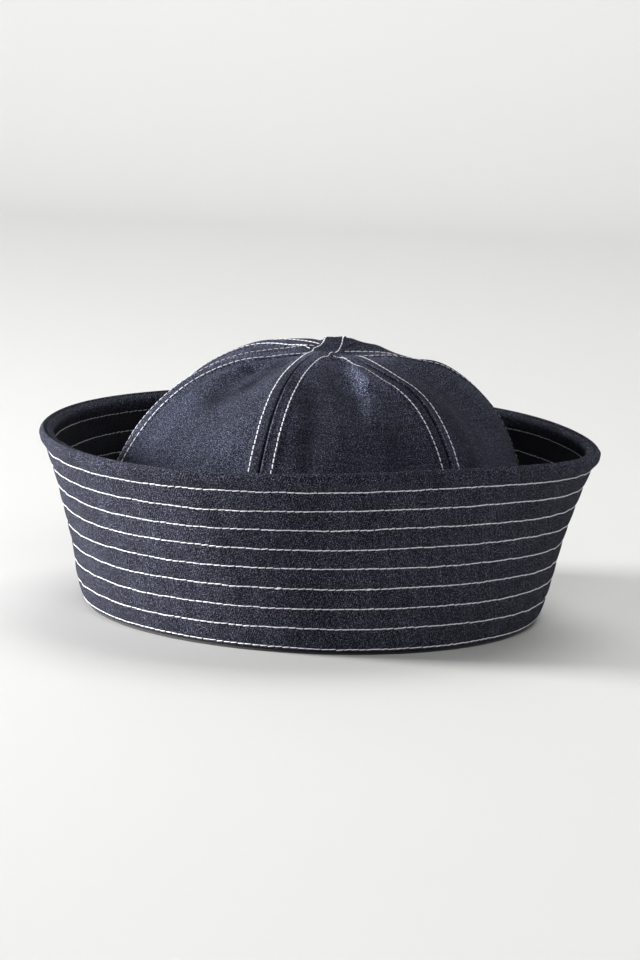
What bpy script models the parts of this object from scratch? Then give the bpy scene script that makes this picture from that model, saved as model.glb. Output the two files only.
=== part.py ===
"""Denim sailor cap: a soft crown of six gores inside a stiff, flared, turned-up brim.

The cap rests on the foot of its sweatband, at Z = 0. The front of the cap looks along -Y. Azimuths
are in degrees round +Z, from the front (-Y) at 0 by the +X side at 90. Every wall is an open
surface, computed from the sizes below, that a Solidify modifier gives its thickness.
"""

import bpy
import numpy as np

MM = 0.001

# Cloth and clearances
CLOTH = 1.3 * MM
SEAM_GAP = 0.35 * MM
FACING_GAP = 0.3 * MM

# Fold ring: the outer face of the brim at its lowest row of stitches
FOLD_HALF_WIDTH = 92.0 * MM
FOLD_HALF_DEPTH = 101.0 * MM
FOLD_HEIGHT = 2.6 * MM

# Brim, measured along its cloth from the fold ring to the top of the rim
BRIM_SEGMENTS = 60
BRIM_WIDTH = 71.0 * MM
FOLD_SWELL = 15.0            # extra flare in degrees where the cloth rounds the fold
FOLD_SWELL_LENGTH = 7.0 * MM
FOLD_TURN_LENGTH = 2.0 * MM  # cloth that turns from the wall to flat under the cap
FOLD_TUCK_LENGTH = 1.9 * MM  # flat cloth under the cap, inside that turn
RIM_ROLL_RADIUS = 2.1 * MM
RIM_ROLL_ANGLE = 75.0
RIM_THICKNESS = 4.7 * MM
RIM_SWELL_LENGTH = 14.0 * MM
FACING_START = 2.5 * MM
PATH_SAMPLES = 400
ROLL_ROWS = 4
OUTER_ROWS = (0.05, 0.13, 0.28, 0.46, 0.64, 0.82)   # shares of the brim's width
FACING_ROWS = (0.2, 0.4, 0.6, 0.8)

# Slope of the brim's wall away from upright, in degrees
BRIM_FLARE = (
    # azimuth, at the fold, at the rim
    (0.0, -0.5, 21.0),
    (25.0, -7.0, 18.5),
    (50.0, -0.5, 20.0),
    (70.0, 6.5, 23.0),
    (85.0, 8.0, 23.5),
    (105.0, 4.5, 20.0),
    (135.0, 2.0, 19.0),
    (180.0, 1.0, 19.5),
    (225.0, 3.0, 22.0),
    (255.0, 3.5, 22.0),
    (275.0, 6.5, 22.5),
    (290.0, 9.0, 23.0),
    (310.0, 11.5, 23.0),
    (335.0, 9.0, 22.5),
)

# Crown
CROWN_INSET = 3.3 * MM       # from the brim's outer face to the crown's, at the fold
CROWN_FOOT = 3.3 * MM
CROWN_TOP = 104.2 * MM
CROWN_SQUARENESS = 2.61      # exponent of the superellipse that is the crown's profile
CROWN_TOP_HOLE = 1.6 * MM    # the gores' tips end this far from the crown's middle
CROWN_ROWS = 14
CROWN_LEAN = (2.9 * MM, 6.5 * MM)   # the top's shift to the side and to the back
CROWN_DIMPLE = 2.0 * MM
CROWN_DIMPLE_RADIUS = 12.0 * MM
SEAM_BAND = 5.6 * MM         # half width of the raised, stitched band on a seam
SEAM_RAISE = 0.8 * MM
GORE_COLUMNS = 3             # columns between a seam band and the middle of a gore
PROFILE_SAMPLES = 2000
BULGE_START = 0.12           # share of the rise where a gore's bulge starts
BULGE_GROWTH = 0.4           # share of the rise over which it grows, from there
BULGE_DECAY = 0.35           # share of the rise over which it dies away, below the top
SEAM_START = 0.03            # share of the rise where a seam starts to stand out
SEAM_GROWTH = 0.07

# Columns of points over a seam band
BAND_COLUMNS = (
    # distance from the seam in half widths of the band, most of it in shares of half a gore
    (0.43, 0.25),
    (0.85, 0.5),
    (1.15, 0.7),
)

# Gores, from the front one round by the +X side
CROWN_GORES = (
    # number, azimuth of its first seam, bulge of its middle
    (1, -18.0, -3.0 * MM),
    (2, 37.5, -5.0 * MM),
    (3, 104.5, -0.5 * MM),
    (4, 171.0, 2.2 * MM),
    (5, 236.0, -3.0 * MM),
    (6, 285.0, -4.0 * MM),
)

# Dents (negative) and ridges that run down the crown, between two shares of its rise
CROWN_FOLDS = (
    # azimuth low, azimuth high, rise low, rise high, half width, height
    (4.0, -4.0, 0.55, 0.97, 6.0 * MM, -3.0 * MM),
    (16.0, 20.0, 0.55, 0.95, 5.0 * MM, 1.5 * MM),
    (-72.0, -62.0, 0.70, 0.97, 5.0 * MM, -2.5 * MM),
)

# Sweatband
SWEATBAND_THICKNESS = 1.2 * MM
SWEATBAND_GAP = 1.1 * MM
SWEATBAND_HEIGHT = 22.0 * MM
SWEATBAND_FOOT_THICKNESS = 1.05 * MM
SWEATBAND_FOOT_INSET = 1.9 * MM   # from the brim's outer face at the fold to the foot's edge

# Finishes: colour, roughness
DENIM = ((0.045, 0.055, 0.095, 1.0), 0.9)
DENIM_INSIDE = ((0.020, 0.023, 0.036, 1.0), 0.92)
TAPE = ((0.010, 0.009, 0.010, 1.0), 0.8)


def closed_spline(knots, values, azimuth):
    """Read a closed cubic spline with continuous curvature through (knot, value) pairs."""
    span = np.diff(np.append(knots, knots[0] + 360.0))
    slope = (np.roll(values, -1) - values) / span
    index = np.arange(len(knots))
    matrix = np.zeros((len(knots), len(knots)))
    matrix[index, index] = 2.0 * (span + np.roll(span, 1))
    matrix[index, index - 1] = np.roll(span, 1)
    matrix[index - 1, index] = np.roll(span, 1)
    bend = np.linalg.solve(matrix, 6.0 * (slope - np.roll(slope, 1)))
    azimuth = np.mod(azimuth, 360.0)
    at = np.searchsorted(knots, azimuth, side="right") - 1
    step = azimuth - knots[at]
    after = np.roll(bend, -1)[at]
    linear = slope[at] - span[at] * (2.0 * bend[at] + after) / 6.0
    cubic = (after - bend[at]) / (6.0 * span[at])
    return values[at] + step * (linear + step * (bend[at] / 2.0 + step * cubic))


def smooth_step(share):
    """Rise from 0 to 1 with level ends."""
    share = np.clip(share, 0.0, 1.0)
    return share * share * (3.0 - 2.0 * share)


def direction(azimuth):
    """Unit vectors that point outwards at the azimuths."""
    angle = np.radians(azimuth)
    return np.stack([np.sin(angle), -np.cos(angle), np.zeros_like(angle)], axis=-1)


def fold_radius(azimuth):
    """Distance from the middle of the cap to the brim's outer face at the fold ring."""
    angle = np.radians(azimuth)
    return 1.0 / np.hypot(np.sin(angle) / FOLD_HALF_WIDTH, np.cos(angle) / FOLD_HALF_DEPTH)


def brim_path(azimuth):
    """Outer face of the brim at each azimuth: lengths along the cloth, radius, height, flare."""
    table = np.array(BRIM_FLARE)
    low = closed_spline(table[:, 0], table[:, 1], azimuth)
    high = closed_spline(table[:, 0], table[:, 2], azimuth)
    start = -FOLD_TURN_LENGTH - FOLD_TUCK_LENGTH
    length = np.linspace(start, BRIM_WIDTH, PATH_SAMPLES)
    share = np.clip(length / BRIM_WIDTH, 0.0, 1.0)[:, None]
    swell = FOLD_SWELL * np.exp(-np.maximum(length, 0.0) / FOLD_SWELL_LENGTH)[:, None]
    flare = low + (high - low) * share + swell
    turn = np.clip(-length / FOLD_TURN_LENGTH, 0.0, 1.0)[:, None]
    flare = np.radians(flare + (90.0 - flare) * turn)
    step = length[1] - length[0]
    radius = running_sum(np.sin(flare), step)
    height = running_sum(np.cos(flare), step)
    zero = np.argmin(np.abs(length))
    radius += fold_radius(azimuth) - radius[zero]
    height += FOLD_HEIGHT - height[zero]
    return length, radius, height, flare


def running_sum(rate, step):
    """Integral of a rate down the rows, by the trapezium rule, from zero at the first row."""
    total = np.zeros_like(rate)
    total[1:] = np.cumsum((rate[1:] + rate[:-1]) * step / 2.0, axis=0)
    return total


def brim_surface(azimuth, lengths, depths):
    """Points on the brim: a row for each (length along the cloth, depth under its outer face)."""
    path_length, path_radius, path_height, path_flare = brim_path(azimuth)
    rows = []
    for length, depth in zip(lengths, depths):
        at = int(np.clip(np.searchsorted(path_length, length), 1, len(path_length) - 1))
        share = (length - path_length[at - 1]) / (path_length[at] - path_length[at - 1])
        radius = path_radius[at - 1] + share * (path_radius[at] - path_radius[at - 1])
        height = path_height[at - 1] + share * (path_height[at] - path_height[at - 1])
        flare = path_flare[at - 1] + share * (path_flare[at] - path_flare[at - 1])
        radius = radius - depth * np.cos(flare)
        height = height + depth * np.sin(flare)
        point = direction(azimuth) * radius[:, None]
        point[:, 2] = height
        rows.append(point)
    return np.array(rows)


def rim_roll():
    """Lengths and depths of the outer cloth as it rolls inwards over the rim."""
    angle = np.radians(np.linspace(0.0, RIM_ROLL_ANGLE, ROLL_ROWS))
    length = BRIM_WIDTH - RIM_ROLL_RADIUS * (1.0 - np.sin(angle))
    return length, RIM_ROLL_RADIUS * (1.0 - np.cos(angle))


def crown_profile():
    """Superellipse from the foot to the top: share of the rise, of the radius, height, tilt."""
    angle = np.linspace(0.0, np.pi / 2.0, PROFILE_SAMPLES)
    power = 2.0 / CROWN_SQUARENESS
    radius = np.cos(angle) ** power
    height = np.sin(angle) ** power
    radius[-1] = 0.0
    across = radius * (FOLD_HALF_WIDTH - CROWN_INSET)
    up = height * (CROWN_TOP - CROWN_FOOT)
    run = np.append(0.0, np.cumsum(np.hypot(np.diff(across), np.diff(up))))
    tilt = np.arctan2(-np.gradient(across, run), np.gradient(up, run))
    return run / run[-1], radius, CROWN_FOOT + up, tilt


def gore_place(azimuth):
    """Row of the gore at each azimuth, its width and the way into it, in degrees."""
    seams = np.array([row[1] for row in CROWN_GORES])
    widths = np.diff(np.append(seams, seams[0] + 360.0))
    turned = np.mod(azimuth - seams[0], 360.0)
    row = np.searchsorted(seams - seams[0], turned, side="right") - 1
    return row, widths[row], turned - (seams[row] - seams[0])


def crown_lift(azimuth, rise, radius):
    """How far the crown's outer face stands off its profile: bulged gores, seams and folds."""
    row, width, into = gore_place(azimuth)
    nearest = np.minimum(into, width - into)
    distance = radius * np.radians(nearest)
    puff = np.array([gore[2] for gore in CROWN_GORES])[row]
    grown = smooth_step((rise - BULGE_START) / BULGE_GROWTH)
    fade = grown * smooth_step((1.0 - rise) / BULGE_DECAY)
    lift = puff * smooth_step(2.0 * nearest / width) * fade
    band_edge = BAND_COLUMNS[1][0] * SEAM_BAND
    band_end = BAND_COLUMNS[2][0] * SEAM_BAND
    raised = 1.0 - smooth_step((distance - band_edge) / (band_end - band_edge))
    lift = lift + SEAM_RAISE * raised * smooth_step((rise - SEAM_START) / SEAM_GROWTH)
    for az_low, az_high, rise_low, rise_high, half_width, height in CROWN_FOLDS:
        share = (rise - rise_low) / (rise_high - rise_low)
        middle = az_low + (az_high - az_low) * share
        off = np.mod(azimuth - middle + 180.0, 360.0) - 180.0
        across = radius * np.radians(off) / half_width
        ends = smooth_step(share * 3.0) * smooth_step((1.0 - share) * 3.0)
        lift = lift + height * np.exp(-across * across) * ends
    return lift


def crown_point(azimuth, rise):
    """Outer face of the crown at each azimuth and share of the rise from its foot to its top."""
    run, radius, height, tilt = crown_profile()
    reach = np.interp(rise, run, radius) * (fold_radius(azimuth) - CROWN_INSET)
    lean = np.interp(rise, run, tilt)
    lift = crown_lift(azimuth, rise, reach)
    point = direction(azimuth) * (reach + lift * np.cos(lean))[..., None]
    level = np.interp(rise, run, height)
    dimple = CROWN_DIMPLE * np.exp(-(reach / CROWN_DIMPLE_RADIUS) ** 2)
    point[..., 2] = level + lift * np.sin(lean) - dimple
    shift = smooth_step((level - SWEATBAND_HEIGHT) / (CROWN_TOP - SWEATBAND_HEIGHT))
    point[..., 0] += CROWN_LEAN[0] * shift
    point[..., 1] += CROWN_LEAN[1] * shift
    return point


def gore_columns(radius, width):
    """Azimuth offsets from a gore's first seam, in degrees, for a row at the given radius."""
    half = width / 2.0
    edge = np.degrees(SEAM_GAP / 2.0 / radius)
    band = np.array(BAND_COLUMNS)
    distance = np.degrees(band[:, 0] * SEAM_BAND / radius)
    band_angle = np.minimum(distance, band[:, 1] * half)
    middle = np.linspace(band_angle[-1], half, GORE_COLUMNS + 1)[1:]
    left = np.concatenate([[edge], band_angle, middle])
    return np.concatenate([left, width - left[-2::-1]])


def gore_surface(seam):
    """Grid of points over the outer face of the gore after a seam, from the foot up to its tip."""
    _, width, _ = gore_place(np.array([seam]))
    run, radius, _, _ = crown_profile()
    side = FOLD_HALF_WIDTH - CROWN_INSET
    tip = np.interp(-CROWN_TOP_HOLE / side, -radius, run)
    rows = []
    for rise in np.linspace(0.0, tip, CROWN_ROWS):
        reach = np.interp(rise, run, radius) * side
        azimuth = seam + gore_columns(reach, width[0])
        rows.append(crown_point(azimuth, np.full_like(azimuth, rise)))
    return np.array(rows)


def sweatband_section():
    """Corners of the sweatband's section: inset from the fold ring, height."""
    outer = CROWN_INSET + CLOTH + SWEATBAND_GAP
    inner = outer + SWEATBAND_THICKNESS
    return (
        (SWEATBAND_FOOT_INSET, 0.0),
        (SWEATBAND_FOOT_INSET, SWEATBAND_FOOT_THICKNESS),
        (outer, SWEATBAND_FOOT_THICKNESS),
        (outer, SWEATBAND_HEIGHT),
        (inner, SWEATBAND_HEIGHT),
        (inner, 0.0),
    )


def ring_azimuths():
    """Azimuths of the brim's segments."""
    return np.arange(BRIM_SEGMENTS) * 360.0 / BRIM_SEGMENTS


def plan_middle():
    """Middle of the brim's plan, so that the finished cap is centred on the origin."""
    _, radius, _, _ = brim_path(ring_azimuths())
    rim = direction(ring_azimuths()) * np.max(radius, axis=0)[:, None]
    return (rim.min(axis=0) + rim.max(axis=0)) / 2.0


def new_material(name, finish):
    """Principled material with a colour and a roughness."""
    material = bpy.data.materials.new(name)
    material.use_nodes = True
    shader = material.node_tree.nodes["Principled BSDF"]
    shader.inputs["Base Color"].default_value = finish[0]
    shader.inputs["Roughness"].default_value = finish[1]
    material.diffuse_color = finish[0]
    return material


def grid_faces(rows, columns, closed):
    """Quads of a grid of points; a closed grid joins its last column to its first."""
    faces = []
    for row in range(rows - 1):
        for column in range(columns if closed else columns - 1):
            after = (column + 1) % columns
            faces.append((row * columns + column, row * columns + after,
                          (row + 1) * columns + after, (row + 1) * columns + column))
    return faces


def add_sheet(name, points, closed, finish, collection, thickness):
    """Add a grid as a smooth sheet whose front is its outside; thickness goes in behind it."""
    rows, columns = points.shape[:2]
    faces = grid_faces(rows, columns, closed)
    mesh = bpy.data.meshes.new(name)
    mesh.from_pydata((points - plan_middle()).reshape(-1, 3).tolist(), [], faces)
    mesh.shade_smooth()
    mesh.materials.append(new_material(name, finish))
    sheet = bpy.data.objects.new(name, mesh)
    collection.objects.link(sheet)
    if thickness:
        solid = sheet.modifiers.new("thickness", "SOLIDIFY")
        solid.thickness = thickness
        solid.offset = -1.0
        solid.use_even_offset = True
    return sheet


def add_brim_outer(collection):
    """Outer cloth: tucked under the cap, round the fold, up the wall and over the rim."""
    turn = np.linspace(-FOLD_TURN_LENGTH, 0.0, 3)
    wall = np.array(OUTER_ROWS) * BRIM_WIDTH
    roll_length, roll_depth = rim_roll()
    lengths = np.concatenate([[turn[0] - FOLD_TUCK_LENGTH], turn, wall, roll_length])
    depths = np.concatenate([np.zeros(len(lengths) - ROLL_ROWS), roll_depth])
    points = brim_surface(ring_azimuths(), lengths, depths)
    add_sheet("brim_outer", points, True, DENIM, collection, CLOTH)


def add_brim_facing(collection):
    """Inner cloth of the brim: its front looks at the crown, its top meets the outer cloth."""
    low = 2.0 * CLOTH + FACING_GAP
    roll_length, roll_depth = rim_roll()
    wall = np.append(FACING_START, np.array(FACING_ROWS) * BRIM_WIDTH)
    swell = smooth_step((wall - roll_length[0] + RIM_SWELL_LENGTH) / RIM_SWELL_LENGTH)
    wall_depth = low + (RIM_THICKNESS - low) * swell
    lengths = np.concatenate([wall, roll_length])
    depths = np.concatenate([wall_depth, RIM_THICKNESS - roll_depth])
    points = brim_surface(ring_azimuths(), lengths[::-1], depths[::-1])
    add_sheet("brim_facing", points, True, DENIM_INSIDE, collection, CLOTH)


def add_crown(collection):
    """Six gores, each a sheet of its own, with a narrow gap at every seam."""
    for number, seam, _ in CROWN_GORES:
        add_sheet("crown_gore_%d" % number, gore_surface(seam), False, DENIM, collection, CLOTH)


def add_sweatband(collection):
    """Tape ring inside the head opening, with a foot that the cap rests on."""
    azimuth = ring_azimuths()
    rows = []
    for inset, height in sweatband_section():
        point = direction(azimuth) * (fold_radius(azimuth) - inset)[:, None]
        point[:, 2] = height
        rows.append(point)
    rows.append(rows[0])
    sheet = add_sheet("sweatband", np.array(rows), True, TAPE, collection, 0.0)
    weld = sheet.modifiers.new("close section", "WELD")
    weld.merge_threshold = 0.00001
    sheet.data.set_sharp_from_angle(angle=np.radians(40.0))


def main():
    for thing in list(bpy.data.objects):
        bpy.data.objects.remove(thing, do_unlink=True)
    collection = bpy.data.collections.new("sailor_cap")
    bpy.context.scene.collection.children.link(collection)
    add_brim_outer(collection)
    add_brim_facing(collection)
    add_crown(collection)
    add_sweatband(collection)


if __name__ == "__main__":
    main()
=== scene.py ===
"""Visual model of a denim sailor cap, laid out as a Blender add-on and run as a script.

The cap has a soft crown of six gores inside a stiff, flared, turned-up brim that is sewn round in
nine rows. Lengths are in metres, +Z is up and the front of the cap looks along -Y. Azimuths are in
degrees round +Z, from the front (-Y) at 0 by the +X side at 90.
"""

import bpy
import numpy as np
from bpy.props import FloatProperty, FloatVectorProperty, IntProperty, PointerProperty
from mathutils import Matrix


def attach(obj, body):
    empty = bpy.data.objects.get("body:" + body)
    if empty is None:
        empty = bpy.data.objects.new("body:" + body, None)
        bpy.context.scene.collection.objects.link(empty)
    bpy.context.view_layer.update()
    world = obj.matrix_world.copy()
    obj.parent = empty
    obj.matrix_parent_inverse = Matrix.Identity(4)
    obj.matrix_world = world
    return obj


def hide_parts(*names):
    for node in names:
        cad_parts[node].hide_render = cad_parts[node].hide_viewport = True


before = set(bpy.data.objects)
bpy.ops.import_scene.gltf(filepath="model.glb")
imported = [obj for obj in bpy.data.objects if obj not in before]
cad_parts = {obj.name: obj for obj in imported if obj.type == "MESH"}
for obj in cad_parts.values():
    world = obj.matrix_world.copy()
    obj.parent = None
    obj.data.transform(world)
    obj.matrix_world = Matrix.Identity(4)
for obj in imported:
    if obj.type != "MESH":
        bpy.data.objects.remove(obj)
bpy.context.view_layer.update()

bl_info = {
    "name": "Denim sailor cap",
    "version": (1, 0, 0),
    "blender": (4, 5, 0),
    "location": "View3D > Sidebar > Sailor cap",
    "description": "Builds a denim sailor cap with a stitched brim and a crown of six gores",
    "category": "Add Mesh",
}

MM = 0.001

# Sizes that the CAD part fixes
CLOTH = 1.3 * MM
FACING_GAP = 0.3 * MM
FOLD_HALF_WIDTH = 92.0 * MM
FOLD_HALF_DEPTH = 101.0 * MM
FOLD_HEIGHT = 2.6 * MM
BRIM_WIDTH = 71.0 * MM
FOLD_SWELL = 15.0             # degrees by which the wall leans out more right above the fold
FOLD_SWELL_LENGTH = 7.0 * MM
FOLD_TURN_LENGTH = 2.0 * MM
FOLD_TUCK_LENGTH = 1.9 * MM
RIM_THICKNESS = 4.7 * MM

# The rim is padded by the seam allowances inside it
RIM_BULGE = 1.1 * MM          # how far the outer cloth swells out above the top row of stitches
RIM_BULGE_START = 0.6 * MM    # from the top row of stitches to where it starts
RIM_BULGE_LENGTH = 3.6 * MM
OUTER_ROLL = 2.6 * MM         # radius of the outer cloth's turn over the rim
FACING_ROLL = 2.5 * MM
FACING_TOP = 69.9 * MM        # the facing's top lies a little lower than the outer cloth's
FACING_START = 2.5 * MM

# Past its turn over the rim each cloth dives into the rim's seam: millimetres down from its top,
# and millimetres further in
RIM_DIVE = ((0.35, 0.22), (0.9, 0.42), (1.8, 0.5))

# Grid lines of the brim, in millimetres up its cloth: round the fold, down the outer cloth's hidden
# side, round a row of stitches up to the next one, and up the facing's hidden side with its depth
FOLD_GRID = (-2.0, -1.6, -1.25, -0.9, -0.6, -0.3, 0.0, 0.3, 0.6, 1.0, 1.6, 2.6, 4.0, 5.4)
HIDDEN_GRID = (66.0, 62.0, 40.0, 20.0, 3.0, 0.0, -1.0, -2.0, -3.9)
ROW_GRID = (-1.6, -0.9, -0.45, 0.0, 0.45, 0.9, 1.6, 2.9, 4.2)
FACING_HIDDEN_GRID = ((2.5, 1.6), (20.0, 1.6), (45.0, 1.6), (63.0, 1.65), (67.5, 2.2))
ROLL_STEPS = 11               # points on the outer cloth's turn over the rim
ROLL_FACE_STEPS = 5           # those of them that still have the face's relief
FACING_ROLL_STEPS = 9
FACING_ROLL_FACE_STEPS = 4
GRID_GAP = 0.3 * MM           # least distance between the wall's last grid line and the turn

PLAN_SAMPLES = 60             # azimuths that give the brim's box in plan, as in the CAD part
PATH_SAMPLES = 800
ROW_SAMPLES = 1440            # points along a row of stitches round the brim

# Slope of the brim's wall away from upright, in degrees
BRIM_FLARE = (
    # azimuth, at the fold, at the rim
    (0.0, -0.5, 21.0),
    (25.0, -7.0, 18.5),
    (50.0, -0.5, 20.0),
    (70.0, 6.5, 23.0),
    (85.0, 8.0, 23.5),
    (105.0, 4.5, 20.0),
    (135.0, 2.0, 19.0),
    (180.0, 1.0, 19.5),
    (225.0, 3.0, 22.0),
    (255.0, 3.5, 22.0),
    (275.0, 6.5, 22.5),
    (290.0, 9.0, 23.0),
    (310.0, 11.5, 23.0),
    (335.0, 9.0, 22.5),
)

CROWN_INSET = 3.3 * MM        # from the fold ring in to the crown's foot
CROWN_FOOT = 3.3 * MM         # height of its foot
CROWN_TOP = 104.2 * MM        # and of its top, without the dimple
CROWN_SQUARENESS = 2.61       # power of the profile's superellipse, 2 for an ellipse
CROWN_LEAN = (2.9 * MM, 6.5 * MM)    # shift of the top towards +X and towards the back
CROWN_DIMPLE = 1.9 * MM
CROWN_DIMPLE_RADIUS = 9.0 * MM
PROFILE_SAMPLES = 2000
NORMAL_TURN = 0.15            # steps for the crown's normals, in degrees
NORMAL_CLIMB = 0.002          # and as a share of the rise

# Share of the rise where the gores' bulge starts, over which it grows, and over which it fades
# towards the top
BULGE_START = 0.12
BULGE_GROWTH = 0.4
BULGE_DECAY = 0.35

# Grid lines of the crown: millimetres from a seam, and the most that they take up of half a gore
SEAM_GRID = (0.0, 0.2, 0.45, 0.75, 1.1, 1.7, 2.5, 3.3, 3.8, 4.15, 4.5, 4.85, 5.15, 5.45, 5.8,
             6.2, 6.8, 7.8)
SEAM_GRID_SHARE = 0.62
HALF_GORE_COLUMNS = 24        # even columns from there to the middle of a gore

# Gores, from the front one round by the +X side
CROWN_GORES = (
    # azimuth of its first seam, bulge of its middle, turn of its weave in degrees
    (-18.0, -3.0 * MM, 84.0),
    (37.5, -5.0 * MM, 96.0),
    (104.5, -0.5 * MM, 4.0),
    (171.0, 2.2 * MM, 88.0),
    (236.0, -3.0 * MM, -3.0),
    (285.0, -4.0 * MM, 6.0),
)

# How far each gore's first seam sways from its straight path, in degrees, low down and near the top
SEAM_SWAY = (
    (2.0, 0.0),
    (0.5, -6.0),
    (0.0, 0.0),
    (0.0, 4.5),
    (0.0, -13.0),
    (-1.5, 0.0),
)
TOP_SHIFT = -2.2 * MM         # sideways shift of the crown's cloth right at the top
TOP_SHIFT_RADIUS = 9.0 * MM

# Where on the rise a seam's two sways fade out and in, and over how much of it
LOW_SWAY_FADE = (0.35, 0.4)
HIGH_SWAY_GROWTH = (0.6, 0.25)

# Folds and swellings of the crown's cloth, each round a line on the cloth laid out flat from the
# top. Angles are in degrees and lengths in millimetres, and dents have a negative height.
CROWN_FOLDS = (
    # azimuth and distance of one end, azimuth and distance of the other, half width, height
    # Front gore: a valley from the top with a ridge beside it, and soft upright folds below
    (8.0, 14.0, 12.5, 42.0, 3.6, -2.2),
    (12.5, 42.0, 10.0, 62.0, 4.5, -1.5),
    (21.0, 33.0, 19.5, 46.0, 4.5, 2.6),
    (19.5, 46.0, 15.5, 62.0, 5.0, 2.0),
    (4.5, 54.0, 4.0, 86.0, 5.0, 0.7),
    (-7.0, 50.0, -6.0, 88.0, 4.5, -0.9),
    (24.0, 56.0, 24.0, 84.0, 6.0, -0.8),
    # Left gore
    (-57.0, 36.0, -40.0, 29.0, 3.5, -1.3),
    (-62.0, 9.0, -68.0, 26.0, 6.0, -1.3),
    (-55.0, 38.0, -53.5, 58.0, 5.0, -1.4),
    (-47.0, 58.0, -38.0, 72.0, 5.0, -0.5),
    # Swellings behind the top and at the two sides
    (178.0, 17.0, 155.0, 19.0, 5.5, 1.9),
    (147.0, 20.0, 136.0, 27.0, 5.0, 1.5),
    (104.0, 12.0, 108.0, 34.0, 8.5, -3.1),
    (30.0, 14.0, 36.0, 40.0, 7.0, -1.3),
    (100.0, 28.0, 92.0, 72.0, 14.0, 1.6),
    # Swellings and a hollow close to the top, where the seams of its two sides meet its band
    (14.0, 14.0, 20.0, 16.0, 5.0, 1.0),
    (28.0, 25.0, 30.0, 30.0, 5.0, -0.5),
    (-95.0, 7.0, -102.0, 10.0, 5.0, 1.1),
    (-112.0, 40.0, -142.0, 34.0, 12.0, 1.3),
)

# Painted light and shade on the crown's cloth, laid out like the folds, with a tone instead of a
# height: at 1 the cloth is 2.4 times as pale, at -0.9 it is a tenth as pale
CROWN_PAINTED_LIGHT = (
    # azimuth and distance of one end, azimuth and distance of the other, half width, tone
    # Front gore: painted light beside the top and on its ridge, painted shade in the valleys
    (24.0, 18.0, 18.0, 46.0, 6.5, 0.75),
    (18.0, 46.0, 17.5, 66.0, 4.0, 0.35),
    (31.0, 34.0, 31.5, 50.0, 4.5, 0.50),
    (-11.0, 22.0, -9.0, 42.0, 5.0, 0.60),
    (-6.5, 58.0, -6.0, 90.0, 4.5, -0.45),
    (20.5, 68.0, 20.0, 90.0, 5.0, -0.30),
    # Right gore
    (46.0, 56.0, 50.0, 90.0, 9.0, -0.40),
    (68.0, 52.0, 62.0, 80.0, 7.0, -0.30),
    (70.0, 18.0, 92.0, 24.0, 11.0, 0.50),
    # Left gore
    (-50.0, 26.0, -41.0, 48.0, 4.0, -0.40),
    (-41.0, 48.0, -50.0, 62.0, 4.5, -0.35),
    (-56.0, 40.0, -53.0, 60.0, 4.5, -0.30),
    (-68.0, 18.0, -70.0, 34.0, 5.0, 0.55),
    (-17.0, 14.0, -17.0, 26.0, 6.0, 0.60),
)

# Sewing
ROW_SPACING = 7.93 * MM
BRIM_ROWS = 9
SEAM_ROW_OFFSET = 4.5 * MM    # from a crown seam to each of its two rows of stitches
SEAM_BAND = 5.6 * MM          # from a crown seam to the edge of its raised band
SEAM_RAISE = 0.8 * MM
SEAM_BAND_EDGE = 0.8 * MM     # width of that edge
TOP_SEAMS = (-18.0, 171.0)    # the seam that runs over the top, above the others
TOP_BAND_RAISE = 0.6 * MM
TOP_BAND_INSET = 0.3 * MM     # how far inside a seam's band its own edge starts
TOP_BAND_EDGE = 0.7 * MM
TOP_BAND_START = 8.0 * MM     # distance from the top where the extra height starts to fade
TOP_BAND_REACH = 14.0 * MM    # and over how much it fades

# Where on the rise the rows of stitches up a seam start, and how far from the top band they end
SEAM_ROW_START = 0.02
SEAM_ROW_END_GAP = 0.2 * MM
SEAM_ROW_SAMPLES = 900

# A seam's folded edge stands up on one side of its groove, and both are flat near the top
SEAM_EDGE = 0.75 * MM
SEAM_EDGE_WIDTH = 0.5 * MM
SEAM_EDGE_HEIGHT = 0.5 * MM
SEAM_GROOVE = -0.12 * MM
SEAM_GROOVE_WIDTH = 0.36 * MM
SEAM_GROOVE_DEPTH = 0.9 * MM
SEAM_FLAT_REACH = 12.0 * MM
SEAM_OPEN_LENGTH = 30.0 * MM  # over this length further out they grow to their full height

# Close to the top the rows and groove of the band over it take the place of the other seams' rows
UNDER_START = 10.0 * MM
UNDER_LENGTH = 4.0 * MM
UNDER_EDGE = 0.4 * MM
TOP_GROOVE_SHARE = 0.2        # depth of its groove there, against a seam's

# Along a seam: a painted highlight on its edge, painted shade in its groove, a darker lower half
PALE_EDGE_WIDTH = 0.38 * MM
DARK_GROOVE_WIDTH = 0.45 * MM
LOW_BAND_TONE = 0.3
LOW_BAND_INSET = 1.0 * MM
LOW_BAND_EDGE = 0.6 * MM
TONE_OPEN_LENGTH = 20.0 * MM

# Knots where the stitching of the brim's fourth row from the fold starts and ends: two layers of
# short stitches, one a little above the other, and raised off the cloth
KNOT_ROW = 3
KNOT_AZIMUTHS = (-7.0, 12.3)
KNOT_HALF_LENGTH = 0.65       # in degrees
KNOT_LAYER_TURN = 0.15
KNOT_LAYERS = (-0.25 * MM, 0.25 * MM)
KNOT_RAISE = 0.2 * MM
KNOT_STITCH = 1.7 * MM

# Length of each thread that shows against the length of a stitch, by where it's sewn
BRIM_FILL = 1.05
FACING_FILL = 0.92
SEAM_FILL = 0.88
KNOT_FILL = 0.95
FACING_THREAD = 0.8           # width of the facing's thread, against the brim's
FACING_THREAD_PAINTED_SHADE = 0.35     # painted shade on the facing's thread, which lies in shade inside the brim
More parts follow.
